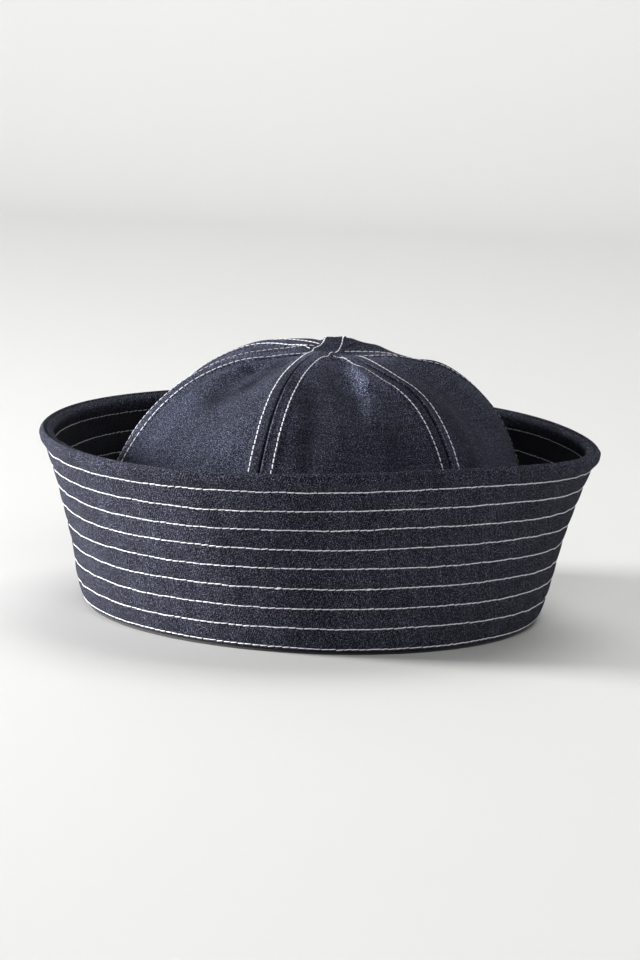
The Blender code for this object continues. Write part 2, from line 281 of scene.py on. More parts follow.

# A stitch's shape: the place along it in half lengths, the rest in half widths of the thread
STITCH_SHAPE = (
    # along, thickness, height of its middle
    (-1.0, 0.45, -1.5),
    (-0.86, 0.85, -0.35),
    (-0.5, 1.0, 0.0),
    (0.0, 1.0, 0.06),
    (0.5, 1.0, 0.0),
    (0.86, 0.85, -0.35),
    (1.0, 0.45, -1.5),
)
STITCH_SIDES = 6
STITCH_FLATNESS = 0.72        # height of its section against its width
STITCH_LIFT = 0.10 * MM
STITCH_TURN = (4.0, 2.6)      # turn about the cloth's normal in degrees, and its spread
STITCH_SPREAD = 0.03          # chance differences of length and place, against the stitch's length
STITCH_WIDTH_SPREAD = 0.05
STITCH_WANDER = 0.05 * MM

BRIM_VALLEY = 0.62 * MM       # width of the valley along a row of stitches on the brim
SEAM_VALLEY = 0.55 * MM       # and on the crown
SEAM_VALLEY_DEPTH = 0.8       # depth of the crown's valleys against the brim's
EVEN_LENGTH = 10.0 * MM       # from the fold up, over which the brim's unevenness grows

SEAM_EVEN_LENGTH = 12.0 * MM  # from a crown seam, over which the crown's unevenness grows

# A row of stitches wanders in waves round the cap: their numbers, and the least and the most
# height of one in millimetres
ROW_WAVES = (2, 3, 5, 8, 13)
ROW_WANDER = (0.04, 0.11)

# Wavelengths of the cloths' unevenness, in millimetres
BRIM_WAVES = (11.0, 14.0, 19.0, 24.0, 31.0, 43.0, 60.0)
CROWN_WAVES = (14.0, 19.0, 24.0, 31.0, 40.0, 52.0)
GORE_WAVE_STEP = 0.37         # from one gore's place in the waves to the next one's
BACK_BLEND = 30.0             # degrees at the back over which the brim's two ends are blended

# Seeds of the chance draws
OUTER_SEED = 3
CROWN_SEED = 7
FACING_SEED = 11
ROW_SEED = 40
BRIM_STITCH_SEED = 100
KNOT_SEED = 150
FACING_STITCH_SEED = 200
SEAM_STITCH_SEED = 300

SWEATBAND_THICKNESS = 1.2 * MM
SWEATBAND_GAP = 1.1 * MM
SWEATBAND_HEIGHT = 22.0 * MM
SWEATBAND_FOOT_THICKNESS = 1.05 * MM
SWEATBAND_FOOT_INSET = 1.9 * MM
SWEATBAND_ROUNDING = 0.4 * MM
SWEATBAND_ROUND_STEPS = 4
SWEATBAND_COLUMNS = 480

WEAVE_MAP = "weave"
STITCH_MAP_STEP = 0.013       # from one stitch's place on the map to the next one's
GORE_MAP_STEP = 0.31          # from one gore's place on the map to the next one's
# Layer of the crown's painted light and shade
PAINTED_LIGHT_LAYER = "wear"

# Lumps per metre of the materials' noises
CROOKED_SCALE = 420.0
LUMP_SCALE = 750.0
GRAIN_SCALE = 2200.0
MOTTLE_SCALE = 55.0
WORN_SCALE = 260.0
TAPE_SCALE = 900.0
FUZZ_SCALE = 2600.0
THREAD_TONE_SCALE = 150.0
FLOOR_TONE_SCALE = 3.0
FLOOR_GRAIN_SCALE = 400.0

# How the denim's yarns differ, and how much of the weft's colour shows on each
CROOKED_SHIFT = 0.30 * MM     # how far a yarn strays from its straight place
WARP_TONES = (0.35, 1.65)     # the darkest and the palest warp yarn, against the warp's colour
FLECK_SHARES = (0.04, 0.39)   # on the faintest and the brightest fleck
SLACK_SHARE = 0.10            # on the palest warp yarn
GRAIN_SHARE = 0.85            # on the brightest grain of fuzz

# Painted shade on the facing's cloth below the rim, where it lies in shade
SHADE_START = 6.5 * MM        # along its section
SHADE_LENGTH = 4.0 * MM
SHADE_DEPTH = 0.12

# Tone of the layer of painted light and shade where the painted shade is deepest, and the colour's
# share there and at a tone of 1, the palest painted light
DEEPEST_TONE = -0.9
DEEPEST_SHARE = 0.1
PALEST_SHARE = 2.4

# Turn of the weave in degrees and tint of each cloth
BRIM_DENIM = (-15.0, (1.0, 1.0, 1.0))
FACING_DENIM = (12.0, (1.0, 1.0, 1.0))
# Painted light: the crown's tint makes its copy of the brim's denim paler and bluer
CROWN_DENIM = (8.0, (1.03, 1.07, 1.14))
REVERSE_DENIM = (98.0, (1.3, 1.3, 1.3))

THREAD_ROUND = 2.0 * MM       # once round a thread on the weave map
THREAD_PLIES = 3.0
TWIST_LENGTH = 0.9 * MM
PLY_SHADE = 0.84              # painted shade between two plies
TAPE_ZIGZAG = 3.0 * MM
TAPE_RIB = 0.7 * MM
TAPE_LIGHT = 2.3              # tone of the tape's lit yarns
FLOOR_TONES = ((0.645, 0.645, 0.635), (0.66, 0.66, 0.65))

# The photograph's camera, with lengths in pixels, its sensor's width in millimetres, and the
# height that it looks at
FOCAL_LENGTH = 4840.0
PHOTO_HEIGHT = 960.0
PHOTO_SHIFT = (3.8, 7.4)      # right and up from the cap's middle to the picture's
SENSOR = 36.0
AIM_HEIGHT = 48.6 * MM
CAMERA_REACH = (0.05, 20.0)   # nearest and farthest that it sees
ROOM_COLOUR = (1.0, 1.0, 0.995)

# Lights, each with its power in the stage's settings
LIGHTS = (
    # name, place, what it looks at, width of its face
    ("key", (-1.56, 0.0, 0.28), (0.0, 0.0, 0.05), 0.5),
    ("side", (1.45, 0.60, 0.11), (0.0, 0.0, 0.04), 0.2),
    ("top", (0.30, 1.0, 2.15), (0.0, 0.0, 0.0), 1.5),
    ("front", (0.3, -1.8, 1.2), (0.0, 0.0, 0.05), 1.2),
)

# The floor runs back, bends up and stands as a wall
FLOOR_FRONT = -3.0
FLOOR_BACK = 1.4
FLOOR_BEND = 0.6
FLOOR_STEPS = 25
FLOOR_HALF_WIDTH = 4.0
FLOOR_COLUMNS = 9
WALL_TOP = 4.0


def colour_setting(name, description, default):
    """Setting that holds a colour."""
    return FloatVectorProperty(name=name, description=description, subtype="COLOR", size=3,
                               min=0.0, max=1.0, default=default)


def length_setting(name, description, default):
    """Setting that holds a length."""
    return FloatProperty(name=name, description=description, unit="LENGTH", default=default)


def power_setting(name, description, default):
    """Setting that holds the power of a light."""
    return FloatProperty(name=name, description=description, unit="POWER", default=default)


class CapClothSettings(bpy.types.PropertyGroup):
    """Colours and weave of the cloths."""

    warp: colour_setting("Warp", "Colour of the indigo yarns", (0.0039, 0.0051, 0.0145))
    weft: colour_setting(
        "Weft", "Colour of the paler yarns that show as flecks", (0.256, 0.264, 0.332))
    warp_pitch: length_setting("Warp pitch", "Distance between two warp yarns", 0.33 * MM)
    weft_pitch: length_setting("Weft pitch", "Distance between two weft yarns", 0.50 * MM)
    thread: colour_setting("Thread", "Colour of the sewing thread", (0.95, 0.94, 1.0))
    tape: colour_setting("Tape", "Colour of the sweatband", (0.012, 0.010, 0.011))
    unevenness: length_setting(
        "Unevenness", "Height of the cloth's soft unevenness", 0.22 * MM)
    quilting: length_setting(
        "Quilting", "How far the brim swells between two rows of stitches", 0.16 * MM)
    valley: length_setting(
        "Stitch valley", "How far a row of stitches draws the cloth in", 0.3 * MM)
    brim_columns: IntProperty(
        name="Brim columns", description="Columns of points round the brim", default=840)
    crown_rows: IntProperty(
        name="Crown rows", description="Rows of points up the crown", default=160)


class CapSewingSettings(bpy.types.PropertyGroup):
    """Sizes of the stitches."""

    brim_stitch: length_setting("Brim stitch", "Length of a stitch on the brim", 2.95 * MM)
    seam_stitch: length_setting("Seam stitch", "Length of a stitch on a crown seam", 2.5 * MM)
    brim_thread: length_setting("Brim thread", "Width of the thread on the brim", 0.44 * MM)
    seam_thread: length_setting("Seam thread", "Width of the thread on the crown", 0.46 * MM)


class CapStageSettings(bpy.types.PropertyGroup):
    """Camera and lights."""

    distance: length_setting("Camera distance", "From the middle of the cap", 1.945)
    elevation: FloatProperty(
        name="Camera elevation", description="Angle of the camera above the cap, in degrees",
        default=9.29)
    roll: FloatProperty(
        name="Camera roll", description="Turn of the camera round its own axis, in degrees",
        default=2.53)
    key_power: power_setting("Key light", "Power of the low light on the left", 82.0)
    side_power: power_setting("Side light", "Power of the soft light on the right", 3.0)
    top_power: power_setting("Top light", "Power of the large light above the back", 33.0)
    front_power: power_setting("Front light", "Power of the soft light in front", 22.0)
    room: FloatProperty(
        name="Room light", description="Strength of the even light of the room", default=0.02)


def smooth_step(share):
    """Rise from 0 to 1 with level ends: 3 s^2 - 2 s^3."""
    share = np.clip(share, 0.0, 1.0)
    return share * share * (3.0 - 2.0 * share)


def bell(distance, width):
    """Bell curve of a distance: 1 at zero, about 0.37 at the width."""
    return np.exp(-(distance / width) ** 2)


def round_the_cap(count):
    """A number of azimuths at even steps, from the back round by the front."""
    return np.linspace(-180.0, 180.0, count + 1)[:-1]


def closed_spline(knots, values, azimuth):
    """Read a closed cubic spline with continuous curvature through (knot, value) pairs."""
    span = np.diff(np.append(knots, knots[0] + 360.0))
    slope = (np.roll(values, -1) - values) / span
    index = np.arange(len(knots))
    matrix = np.zeros((len(knots), len(knots)))
    matrix[index, index] = 2.0 * (span + np.roll(span, 1))
    matrix[index, index - 1] = np.roll(span, 1)
    matrix[index - 1, index] = np.roll(span, 1)
    bend = np.linalg.solve(matrix, 6.0 * (slope - np.roll(slope, 1)))
    azimuth = knots[0] + np.mod(azimuth - knots[0], 360.0)
    at = np.searchsorted(knots, azimuth, side="right") - 1
    step = azimuth - knots[at]
    after = np.roll(bend, -1)[at]
    linear = slope[at] - span[at] * (2.0 * bend[at] + after) / 6.0
    cubic = (after - bend[at]) / (6.0 * span[at])
    return values[at] + step * (linear + step * (bend[at] / 2.0 + step * cubic))


def direction(azimuth):
    """Unit vectors that point outwards at the azimuths."""
    angle = np.radians(azimuth)
    return np.stack([np.sin(angle), -np.cos(angle), np.zeros_like(angle)], axis=-1)


def fold_radius(azimuth):
    """Radius of the fold ring, an ellipse: 1 / hypot(sin / half width, cos / half depth)."""
    angle = np.radians(azimuth)
    return 1.0 / np.hypot(np.sin(angle) / FOLD_HALF_WIDTH, np.cos(angle) / FOLD_HALF_DEPTH)


def unit(vectors):
    """Vectors of length 1 with the same directions."""
    return vectors / np.linalg.norm(vectors, axis=-1, keepdims=True)


def running_sum(rate, step):
    """Integral of a rate down the rows, by the trapezium rule, from zero at the first row."""
    total = np.zeros_like(rate)
    total[1:] = np.cumsum((rate[1:] + rate[:-1]) * step / 2.0, axis=0)
    return total


def brim_path(azimuth):
    """Outer face of the brim at each azimuth: lengths along the cloth, radius, height, flare.

    The flare runs from its value at the fold to its value at the rim, plus a swell that dies away
    above the fold, and turns to level under the cap. Radius and height are its sine and cosine
    summed along the cloth.
    """
    table = np.array(BRIM_FLARE)
    low = closed_spline(table[:, 0], table[:, 1], azimuth)
    high = closed_spline(table[:, 0], table[:, 2], azimuth)
    start = -FOLD_TURN_LENGTH - FOLD_TUCK_LENGTH
    length = np.linspace(start, BRIM_WIDTH, PATH_SAMPLES)
    share = np.clip(length / BRIM_WIDTH, 0.0, 1.0)[:, None]
    swell = FOLD_SWELL * np.exp(-np.maximum(length, 0.0) / FOLD_SWELL_LENGTH)[:, None]
    flare = low + (high - low) * share + swell
    turn = np.clip(-length / FOLD_TURN_LENGTH, 0.0, 1.0)[:, None]
    flare = np.radians(flare + (90.0 - flare) * turn)
    step = length[1] - length[0]
    radius = running_sum(np.sin(flare), step)
    height = running_sum(np.cos(flare), step)
    zero = np.argmin(np.abs(length))
    radius += fold_radius(azimuth) - radius[zero]
    height += FOLD_HEIGHT - height[zero]
    return length, radius, height, flare


def plan_middle():
    """Middle of the brim's plan, which the CAD part puts on the origin."""
    azimuth = np.arange(PLAN_SAMPLES) * 360.0 / PLAN_SAMPLES
    _, radius, _, _ = brim_path(azimuth)
    rim = direction(azimuth) * np.max(radius, axis=0)[:, None]
    return (rim.min(axis=0) + rim.max(axis=0)) / 2.0


def brim_points(azimuth, length, depth):
    """Points and outward normals of the brim, for (rows, columns) of length and depth.

    A point is the outer face's point at that length, moved in by the depth along its normal.
    """
    path_length, path_radius, path_height, path_flare = brim_path(azimuth)
    spot = (length - path_length[0]) / (path_length[1] - path_length[0])
    low = np.clip(spot.astype(int), 0, len(path_length) - 2)
    share = spot - low
    column = np.arange(len(azimuth))
    radius = path_radius[low, column] * (1.0 - share) + path_radius[low + 1, column] * share
    height = path_height[low, column] * (1.0 - share) + path_height[low + 1, column] * share
    flare = path_flare[low, column] * (1.0 - share) + path_flare[low + 1, column] * share
    outwards = np.broadcast_to(direction(azimuth), radius.shape + (3,))
    normal = outwards * np.cos(flare)[..., None]
    normal[..., 2] = -np.sin(flare)
    points = outwards * radius[..., None]
    points[..., 2] = height
    return points - normal * depth[..., None], normal


def row_length(number, azimuth):
    """Length up the brim of a row of stitches: its even place plus a slight hand-guided wander."""
    random = np.random.default_rng(ROW_SEED + number)
    wander = np.zeros_like(azimuth)
    for waves in ROW_WAVES:
        phase = random.uniform(0.0, 2.0 * np.pi)
        size = random.uniform(*ROW_WANDER) * MM
        wander = wander + size * np.sin(waves * np.radians(azimuth) + phase)
    return number * ROW_SPACING + wander


def ripples(across, along, wavelengths, seed):
    """Soft unevenness between about -1 and 1: a sum of plane waves in chance directions."""
    random = np.random.default_rng(seed)
    total = np.zeros(np.broadcast(across, along).shape)
    for wavelength in wavelengths:
        heading = random.uniform(0.0, np.pi)
        phase = random.uniform(0.0, 2.0 * np.pi)
        place = across * np.cos(heading) + along * np.sin(heading)
        total += np.sin(2.0 * np.pi * place / wavelength + phase)
    return total / np.sqrt(len(wavelengths))


def brim_ripples(azimuth, length, seed):
    """Unevenness of the brim, blended over the back so that its two ends meet."""
    wavelengths = np.array(BRIM_WAVES) * MM
    turned = np.mod(azimuth + 180.0, 360.0) - 180.0
    one = ripples(np.radians(turned) * FOLD_HALF_DEPTH, length, wavelengths, seed)
    other = ripples(np.radians(turned + 360.0) * FOLD_HALF_DEPTH, length, wavelengths, seed)
    share = smooth_step((BACK_BLEND - 180.0 - turned) / BACK_BLEND)
    return one * (1.0 - share) + other * share


def brim_relief(azimuth, length, cloth, seed):
    """Lift of the brim's face: swells between rows, valleys along them, and unevenness."""
    share = length / ROW_SPACING
    sewn = (length > 0.0) & (length < (BRIM_ROWS - 1) * ROW_SPACING)
    lift = np.where(sewn, cloth.quilting * np.sin(np.pi * share) ** 2, 0.0)
    for number in range(BRIM_ROWS):
        lift = lift - cloth.valley * bell(length - row_length(number, azimuth), BRIM_VALLEY)
    ripple = cloth.unevenness * brim_ripples(azimuth, length, seed)
    return lift + ripple * smooth_step(length / EVEN_LENGTH)


def crown_profile():
    """Superellipse from the foot to the top: radius cos^(2/n), height sin^(2/n) of an angle.

    Gives the share of the rise along the cloth, the share of the foot's radius, the height, the
    tilt of the cloth's normal and the length of the cloth.
    """
    angle = np.linspace(0.0, np.pi / 2.0, PROFILE_SAMPLES)
    power = 2.0 / CROWN_SQUARENESS
    radius = np.cos(angle) ** power
    height = np.sin(angle) ** power
    radius[-1] = 0.0
    across = radius * (FOLD_HALF_WIDTH - CROWN_INSET)
    up = height * (CROWN_TOP - CROWN_FOOT)
    run = np.append(0.0, np.cumsum(np.hypot(np.diff(across), np.diff(up))))
    tilt = np.arctan2(-np.gradient(across, run), np.gradient(up, run))
    return run / run[-1], radius, CROWN_FOOT + up, tilt, run[-1]


def gore_place(azimuth):
    """Row of the gore at each azimuth, its width and the way into it, in degrees.

    A place right on a seam belongs to the gore past it.
    """
    seams = np.array([gore[0] for gore in CROWN_GORES])
    widths = np.diff(np.append(seams, seams[0] + 360.0))
    turned = np.mod(azimuth - seams[0] + 1e-9, 360.0)
    row = np.searchsorted(seams - seams[0], turned, side="right") - 1
    return row, widths[row], turned - (seams[row] - seams[0])


def crown_run():
    """Length of the crown's cloth from its foot to its top."""
    return crown_profile()[4]


def crown_reach(azimuth, rise):
    """Distance in plan from the crown's axis, before its lean."""
    run, radius, _, _, _ = crown_profile()
    return np.interp(rise, run, radius) * (fold_radius(azimuth) - CROWN_INSET)


def seam_distance(azimuth, reach):
    """Distance in plan from the nearest seam, positive past it and negative before it."""
    _, width, into = gore_place(azimuth)
    distance = reach * np.radians(np.minimum(into, width - into))
    return np.where(into < width / 2.0, distance, -distance)


def top_band_distance(azimuth, reach):
    """Distance in plan from the seam that runs over the top, signed to one side."""
    front = np.radians(azimuth - TOP_SEAMS[0])
    back = np.radians(azimuth - TOP_SEAMS[1])
    return np.where(np.cos(front) > 0.0, reach * np.sin(front), -reach * np.sin(back))


def seam_sway(azimuth, rise):
    """Turn of the cloth at each place that makes the seams sway, in degrees."""
    seams = np.array([gore[0] for gore in CROWN_GORES])
    order = np.argsort(np.mod(seams, 360.0))
    low, high = np.array(SEAM_SWAY)[order].T
    knots = np.mod(seams, 360.0)[order]
    start, share = LOW_SWAY_FADE
    low = closed_spline(knots, low, azimuth) * (1.0 - smooth_step((rise - start) / share))
    start, share = HIGH_SWAY_GROWTH
    return low + closed_spline(knots, high, azimuth) * smooth_step((rise - start) / share)


def bells_on_cloth(table, azimuth, rise):
    """On the cloth laid out flat, the sum of bell curves of the distance from each row's line."""
    flat = direction(azimuth)[..., :2] * ((1.0 - rise) * crown_run())[..., None]
    total = np.zeros(flat.shape[:-1])
    for az_one, far_one, az_two, far_two, half_width, size in table:
        one = direction(np.float64(az_one))[:2] * far_one * MM
        line = direction(np.float64(az_two))[:2] * far_two * MM - one
        share = np.clip((flat - one) @ line / (line @ line), 0.0, 1.0)
        away = np.linalg.norm(flat - one - share[..., None] * line, axis=-1)
        total += size * bell(away, half_width * MM)
    return total


def crown_lift(azimuth, rise, reach):
    """How far the crown stands off its profile: bulged gores, raised seam bands and folds."""
    row, width, into = gore_place(azimuth)
    nearest = np.minimum(into, width - into)
    distance = np.abs(seam_distance(azimuth, reach))
    puff = np.array([gore[1] for gore in CROWN_GORES])[row]
    grown = smooth_step((rise - BULGE_START) / BULGE_GROWTH)
    tone_and_painted_light = grown * smooth_step((1.0 - rise) / BULGE_DECAY)
    lift = puff * smooth_step(2.0 * nearest / width) * tone_and_painted_light
    raised = 1.0 - smooth_step((distance - SEAM_BAND) / SEAM_BAND_EDGE + 0.5)
    lift = lift + SEAM_RAISE * raised
    over = np.abs(top_band_distance(azimuth, reach))
    band = 1.0 - smooth_step((over - SEAM_BAND + TOP_BAND_INSET) / TOP_BAND_EDGE)
    near_top = 1.0 - smooth_step((reach - TOP_BAND_START) / TOP_BAND_REACH)
    lift = lift + TOP_BAND_RAISE * band * near_top
    return lift + MM * bells_on_cloth(CROWN_FOLDS, azimuth, rise)


def seam_relief(azimuth, reach, cloth):
    """Groove in the middle of each seam, and the valleys of its two rows of stitches.

    The cloth on one side of the groove is folded a little higher, which gives it a thin edge. Both
    are pressed flat towards the top.
    """
    signed = seam_distance(azimuth, reach)
    over = np.abs(top_band_distance(azimuth, reach))
    near_top = 1.0 - smooth_step((reach - UNDER_START) / UNDER_LENGTH)
    under = near_top * (1.0 - smooth_step((over - SEAM_BAND) / UNDER_EDGE))
    distance = np.abs(signed) * (1.0 - under) + over * under
    open_seam = smooth_step((reach - SEAM_FLAT_REACH) / SEAM_OPEN_LENGTH)
    edge = bell(signed - SEAM_EDGE, SEAM_EDGE_WIDTH) * open_seam
    groove = bell(signed - SEAM_GROOVE, SEAM_GROOVE_WIDTH) * open_seam
    groove = groove + TOP_GROOVE_SHARE * bell(over, SEAM_GROOVE_WIDTH) * under
    valleys = SEAM_VALLEY_DEPTH * cloth.valley * bell(distance - SEAM_ROW_OFFSET, SEAM_VALLEY)
    return SEAM_EDGE_HEIGHT * edge - SEAM_GROOVE_DEPTH * groove - valleys


def crown_painted_light(azimuth, rise):
    """Painted light and shade on the crown's cloth: in places, and along the lines of its seams.

    A seam has 1, a painted highlight, on its folded edge, -1, painted shade, down in its groove,
    and a little less than 0 on the lower half of its band.
    """
    reach = crown_reach(azimuth, rise)
    signed = seam_distance(azimuth, reach)
    pale = bell(signed - SEAM_EDGE, PALE_EDGE_WIDTH)
    dark = bell(signed - SEAM_GROOVE, DARK_GROOVE_WIDTH)
    low = smooth_step((signed + SEAM_BAND - LOW_BAND_INSET) / LOW_BAND_EDGE) * (signed < 0.0)
    open_seam = smooth_step((reach - SEAM_FLAT_REACH) / TONE_OPEN_LENGTH)
    lines = (pale - dark - LOW_BAND_TONE * low) * open_seam
    return lines + bells_on_cloth(CROWN_PAINTED_LIGHT, azimuth, rise)


def crown_unevenness(azimuth, rise, reach):
    """Soft rumples of the crown's cloth, deeper in the middle of a gore than at its seams."""
    row, width, into = gore_place(azimuth)
    across = reach * np.radians(into - width / 2.0) + row * GORE_WAVE_STEP
    along = rise * crown_run()
    away = smooth_step(np.abs(seam_distance(azimuth, reach)) / SEAM_EVEN_LENGTH)
    return ripples(across, along, np.array(CROWN_WAVES) * MM, CROWN_SEED) * away


def crown_points(azimuth, rise, cloth=None, depth=0.0):
    """Points of the crown at each azimuth and share of the rise from its foot to its top.

    A point is the profile's point for that azimuth, moved out along the profile's normal by the
    lift, down by a dimple round the top, and sideways by a small shift at the top and a lean that
    grows towards it. With a cloth's settings it also has the seams' fine relief and the cloth's
    unevenness.
    """
    run, _, height, tilt, _ = crown_profile()
    reach = crown_reach(azimuth, rise)
    lean = np.interp(rise, run, tilt)
    lift = crown_lift(azimuth, rise, reach) - depth
    if cloth is not None:
        lift = lift + seam_relief(azimuth, reach, cloth)
        lift = lift + cloth.unevenness * crown_unevenness(azimuth, rise, reach)
    points = direction(azimuth + seam_sway(azimuth, rise))
    points = points * (reach + lift * np.cos(lean))[..., None]
    level = np.interp(rise, run, height)
    points[..., 2] = level + lift * np.sin(lean) - CROWN_DIMPLE * bell(reach, CROWN_DIMPLE_RADIUS)
    shift = smooth_step((level - SWEATBAND_HEIGHT) / (CROWN_TOP - SWEATBAND_HEIGHT))
    points[..., 0] += CROWN_LEAN[0] * shift
    points[..., 0] += TOP_SHIFT * bell(reach, TOP_SHIFT_RADIUS)
    points[..., 1] += CROWN_LEAN[1] * shift
    return points


def crown_normals(azimuth, rise):
    """Outward normals of the crown, as the cross product of two small steps over its face."""
    before, after = azimuth - NORMAL_TURN, azimuth + NORMAL_TURN
    across = crown_points(after, rise) - crown_points(before, rise)
    low = np.clip(rise - NORMAL_CLIMB, 0.0, 1.0 - NORMAL_CLIMB / 2.0)
    high = np.clip(rise + NORMAL_CLIMB, NORMAL_CLIMB / 2.0, 1.0)
    up = crown_points(azimuth, high) - crown_points(azimuth, low)
    return unit(np.cross(across, up))


def clear_piece(name):
    """Remove an earlier piece of this name, so that an operator can be run again."""
    old = bpy.data.objects.get(name)
    if old is not None:
        bpy.data.objects.remove(old, do_unlink=True)


def add_faces(name, points, corners, corner_map, material):
    """Make a smooth mesh object from points and groups of faces, with the corners' map places."""
    clear_piece(name)
    mesh = bpy.data.meshes.new(name)
    mesh.vertices.add(len(points))
    mesh.vertices.foreach_set("co", np.ascontiguousarray(points, dtype=np.float32).ravel())
    loops = np.concatenate([part.ravel() for part in corners]).astype(np.int32)
    sizes = np.concatenate([np.full(len(part), part.shape[1]) for part in corners])
    mesh.loops.add(len(loops))
    mesh.loops.foreach_set("vertex_index", loops)
    mesh.polygons.add(len(sizes))
    starts = np.concatenate([[0], np.cumsum(sizes)[:-1]]).astype(np.int32)
    mesh.polygons.foreach_set("loop_start", starts)
    layer = mesh.uv_layers.new(name=WEAVE_MAP)
    places = np.concatenate([part.reshape(-1, 2) for part in corner_map]).astype(np.float32)
    layer.uv.foreach_set("vector", places.ravel())
    mesh.update(calc_edges=True)
    if mesh.validate():
        raise RuntimeError("%s: the mesh had faults" % name)
    mesh.shade_smooth()
    mesh.materials.append(material)
    piece = bpy.data.objects.new(name, mesh)
    bpy.context.scene.collection.objects.link(piece)
    return piece


def grid_corners(rows, columns, closed_rows=False, closed_columns=True):
    """Corners of the quads of a grid of points, each beside the next in its row and above it."""
    row = np.arange(rows if closed_rows else rows - 1)[:, None]
    column = np.arange(columns if closed_columns else columns - 1)[None, :]
    after = (column + 1) % columns
    above = (row + 1) % rows
    quads = [row * columns + column, row * columns + after,
             above * columns + after, above * columns + column]
    return np.stack(quads, axis=-1).reshape(-1, 4)


def map_corners(place):
    """Map places of the corners of each quad, from the places of (row, column) grid lines."""
    return np.stack([place[:-1, :-1], place[:-1, 1:], place[1:, 1:], place[1:, :-1]], axis=2)


def add_ring(name, points, material):
    """Add a closed band: a ring of columns round the cap, each a closed section of points.

    Its map runs round the cap at the fold ring's mean radius, and along the first column.
    """
    rows, columns = points.shape[:2]
    section = np.vstack([points[:, 0], points[:1, 0]])
    along = np.append(0.0, np.cumsum(np.linalg.norm(np.diff(section, axis=0), axis=1)))
    across = np.linspace(-np.pi, np.pi, columns + 1) * (FOLD_HALF_WIDTH + FOLD_HALF_DEPTH) / 2.0
    place = np.stack(np.broadcast_arrays(across[None, :], along[:, None]), axis=-1)
    placed = (points - plan_middle()).reshape(-1, 3)
    quads = grid_corners(rows, columns, closed_rows=True)
    return add_faces(name, placed, [quads], [map_corners(place).reshape(-1, 4, 2)], material)


def rim_swell(length):
    """Growth from 0 to 1 of the rim's padding above the top row of stitches."""
    start = (BRIM_ROWS - 1) * ROW_SPACING + RIM_BULGE_START
    return smooth_step((length - start) / RIM_BULGE_LENGTH)


def facing_depth(length):
    """Depth of the facing's inner face under the brim's outer face, more where it's padded."""
    low = 2.0 * CLOTH + FACING_GAP
    return low + (RIM_THICKNESS - low) * rim_swell(length)


def rim_roll(top, radius, steps):
    """Quarter turn over the rim: lengths and depths of the cloth, then its dive into the seam."""
    angle = np.radians(np.linspace(0.0, 90.0, steps))
    length = top - radius * (1.0 - np.sin(angle))
    depth = radius * (1.0 - np.cos(angle))
    down, further = np.array(RIM_DIVE).T * MM
    return np.append(length, top - down), np.append(depth, radius + further)


def sewn_lengths():
    """Lengths of the grid lines round each row of stitches above the fold's own row."""
    return (np.arange(1, BRIM_ROWS)[:, None] * ROW_SPACING + np.array(ROW_GRID) * MM).ravel()


def outer_brim_section():
    """Section of the outer cloth, from under the cap up the wall, over the rim and back inside.

    Gives the lengths, the depths and 1 where the cloth shows, 0 where it's hidden.
    """
    tuck = -FOLD_TURN_LENGTH - FOLD_TUCK_LENGTH
    wall = sewn_lengths()
    wall = wall[wall < BRIM_WIDTH - OUTER_ROLL - GRID_GAP]
    roll_length, roll_depth = rim_roll(BRIM_WIDTH, OUTER_ROLL, ROLL_STEPS)
    face = np.concatenate([[tuck], np.array(FOLD_GRID) * MM, wall])
    length = np.concatenate([face, roll_length, np.array(HIDDEN_GRID) * MM])
    hidden_depth = np.full(len(HIDDEN_GRID), CLOTH)
    depth = np.concatenate([-RIM_BULGE * rim_swell(face), roll_depth - RIM_BULGE, hidden_depth])
    on_face = np.zeros(len(length))
    on_face[:len(face) + ROLL_FACE_STEPS] = 1.0
    return length, depth, on_face


def facing_section():
    """Section of the facing, from the rim's seam over the roll, down its face and back up.

    Gives the lengths, the depths and 1 where the cloth shows, 0 where it's hidden.
    """
    roll_length, roll_depth = rim_roll(FACING_TOP, FACING_ROLL, FACING_ROLL_STEPS)
    wall = sewn_lengths()
    wall = np.concatenate([[FACING_START], wall[wall < roll_length[0] - GRID_GAP]])
    hidden, hidden_depth = np.array(FACING_HIDDEN_GRID).T * MM
    length = np.concatenate([roll_length[::-1], wall[::-1], hidden])
    roll_depth = RIM_THICKNESS - roll_depth[::-1]
    depth = np.concatenate([roll_depth, facing_depth(wall)[::-1], hidden_depth])
    on_face = np.zeros(len(length))
    end = len(roll_length) + len(wall)
    on_face[len(roll_length) - FACING_ROLL_FACE_STEPS:end] = 1.0
    return length, depth, on_face


def brim_layer(columns, section, cloth, seed, side):
    """Points of one of the brim's cloths: its section carried round the cap, with its relief.

    The relief lifts the face outwards on side -1 and inwards on side 1.
    """
    azimuth = round_the_cap(columns)
    length, depth, on_face = section
    length = np.broadcast_to(length[:, None], (len(length), len(azimuth)))
    relief = brim_relief(azimuth, length, cloth, seed) * on_face[:, None]
    return brim_points(azimuth, length, depth[:, None] + side * relief)[0]


def sweatband_section():
    """Corners of the sweatband's section: inset from the fold ring, height."""
    outer = CROWN_INSET + CLOTH + SWEATBAND_GAP
    inner = outer + SWEATBAND_THICKNESS
    return np.array([
        (SWEATBAND_FOOT_INSET, 0.0),
        (SWEATBAND_FOOT_INSET, SWEATBAND_FOOT_THICKNESS),
        (outer, SWEATBAND_FOOT_THICKNESS),
        (outer, SWEATBAND_HEIGHT),
        (inner, SWEATBAND_HEIGHT),
        (inner, 0.0),
    ])


def rounded_section(corners, radius, steps):
    """Round a closed section's corners: a quadratic curve between points set back from each."""
    before = unit(np.roll(corners, 1, axis=0) - corners) * radius
    after = unit(np.roll(corners, -1, axis=0) - corners) * radius
    share = np.linspace(0.0, 1.0, steps)[None, :, None]
    curve = before[:, None] * (1.0 - share) ** 2 + after[:, None] * share ** 2
    return (corners[:, None] + curve).reshape(-1, 2)


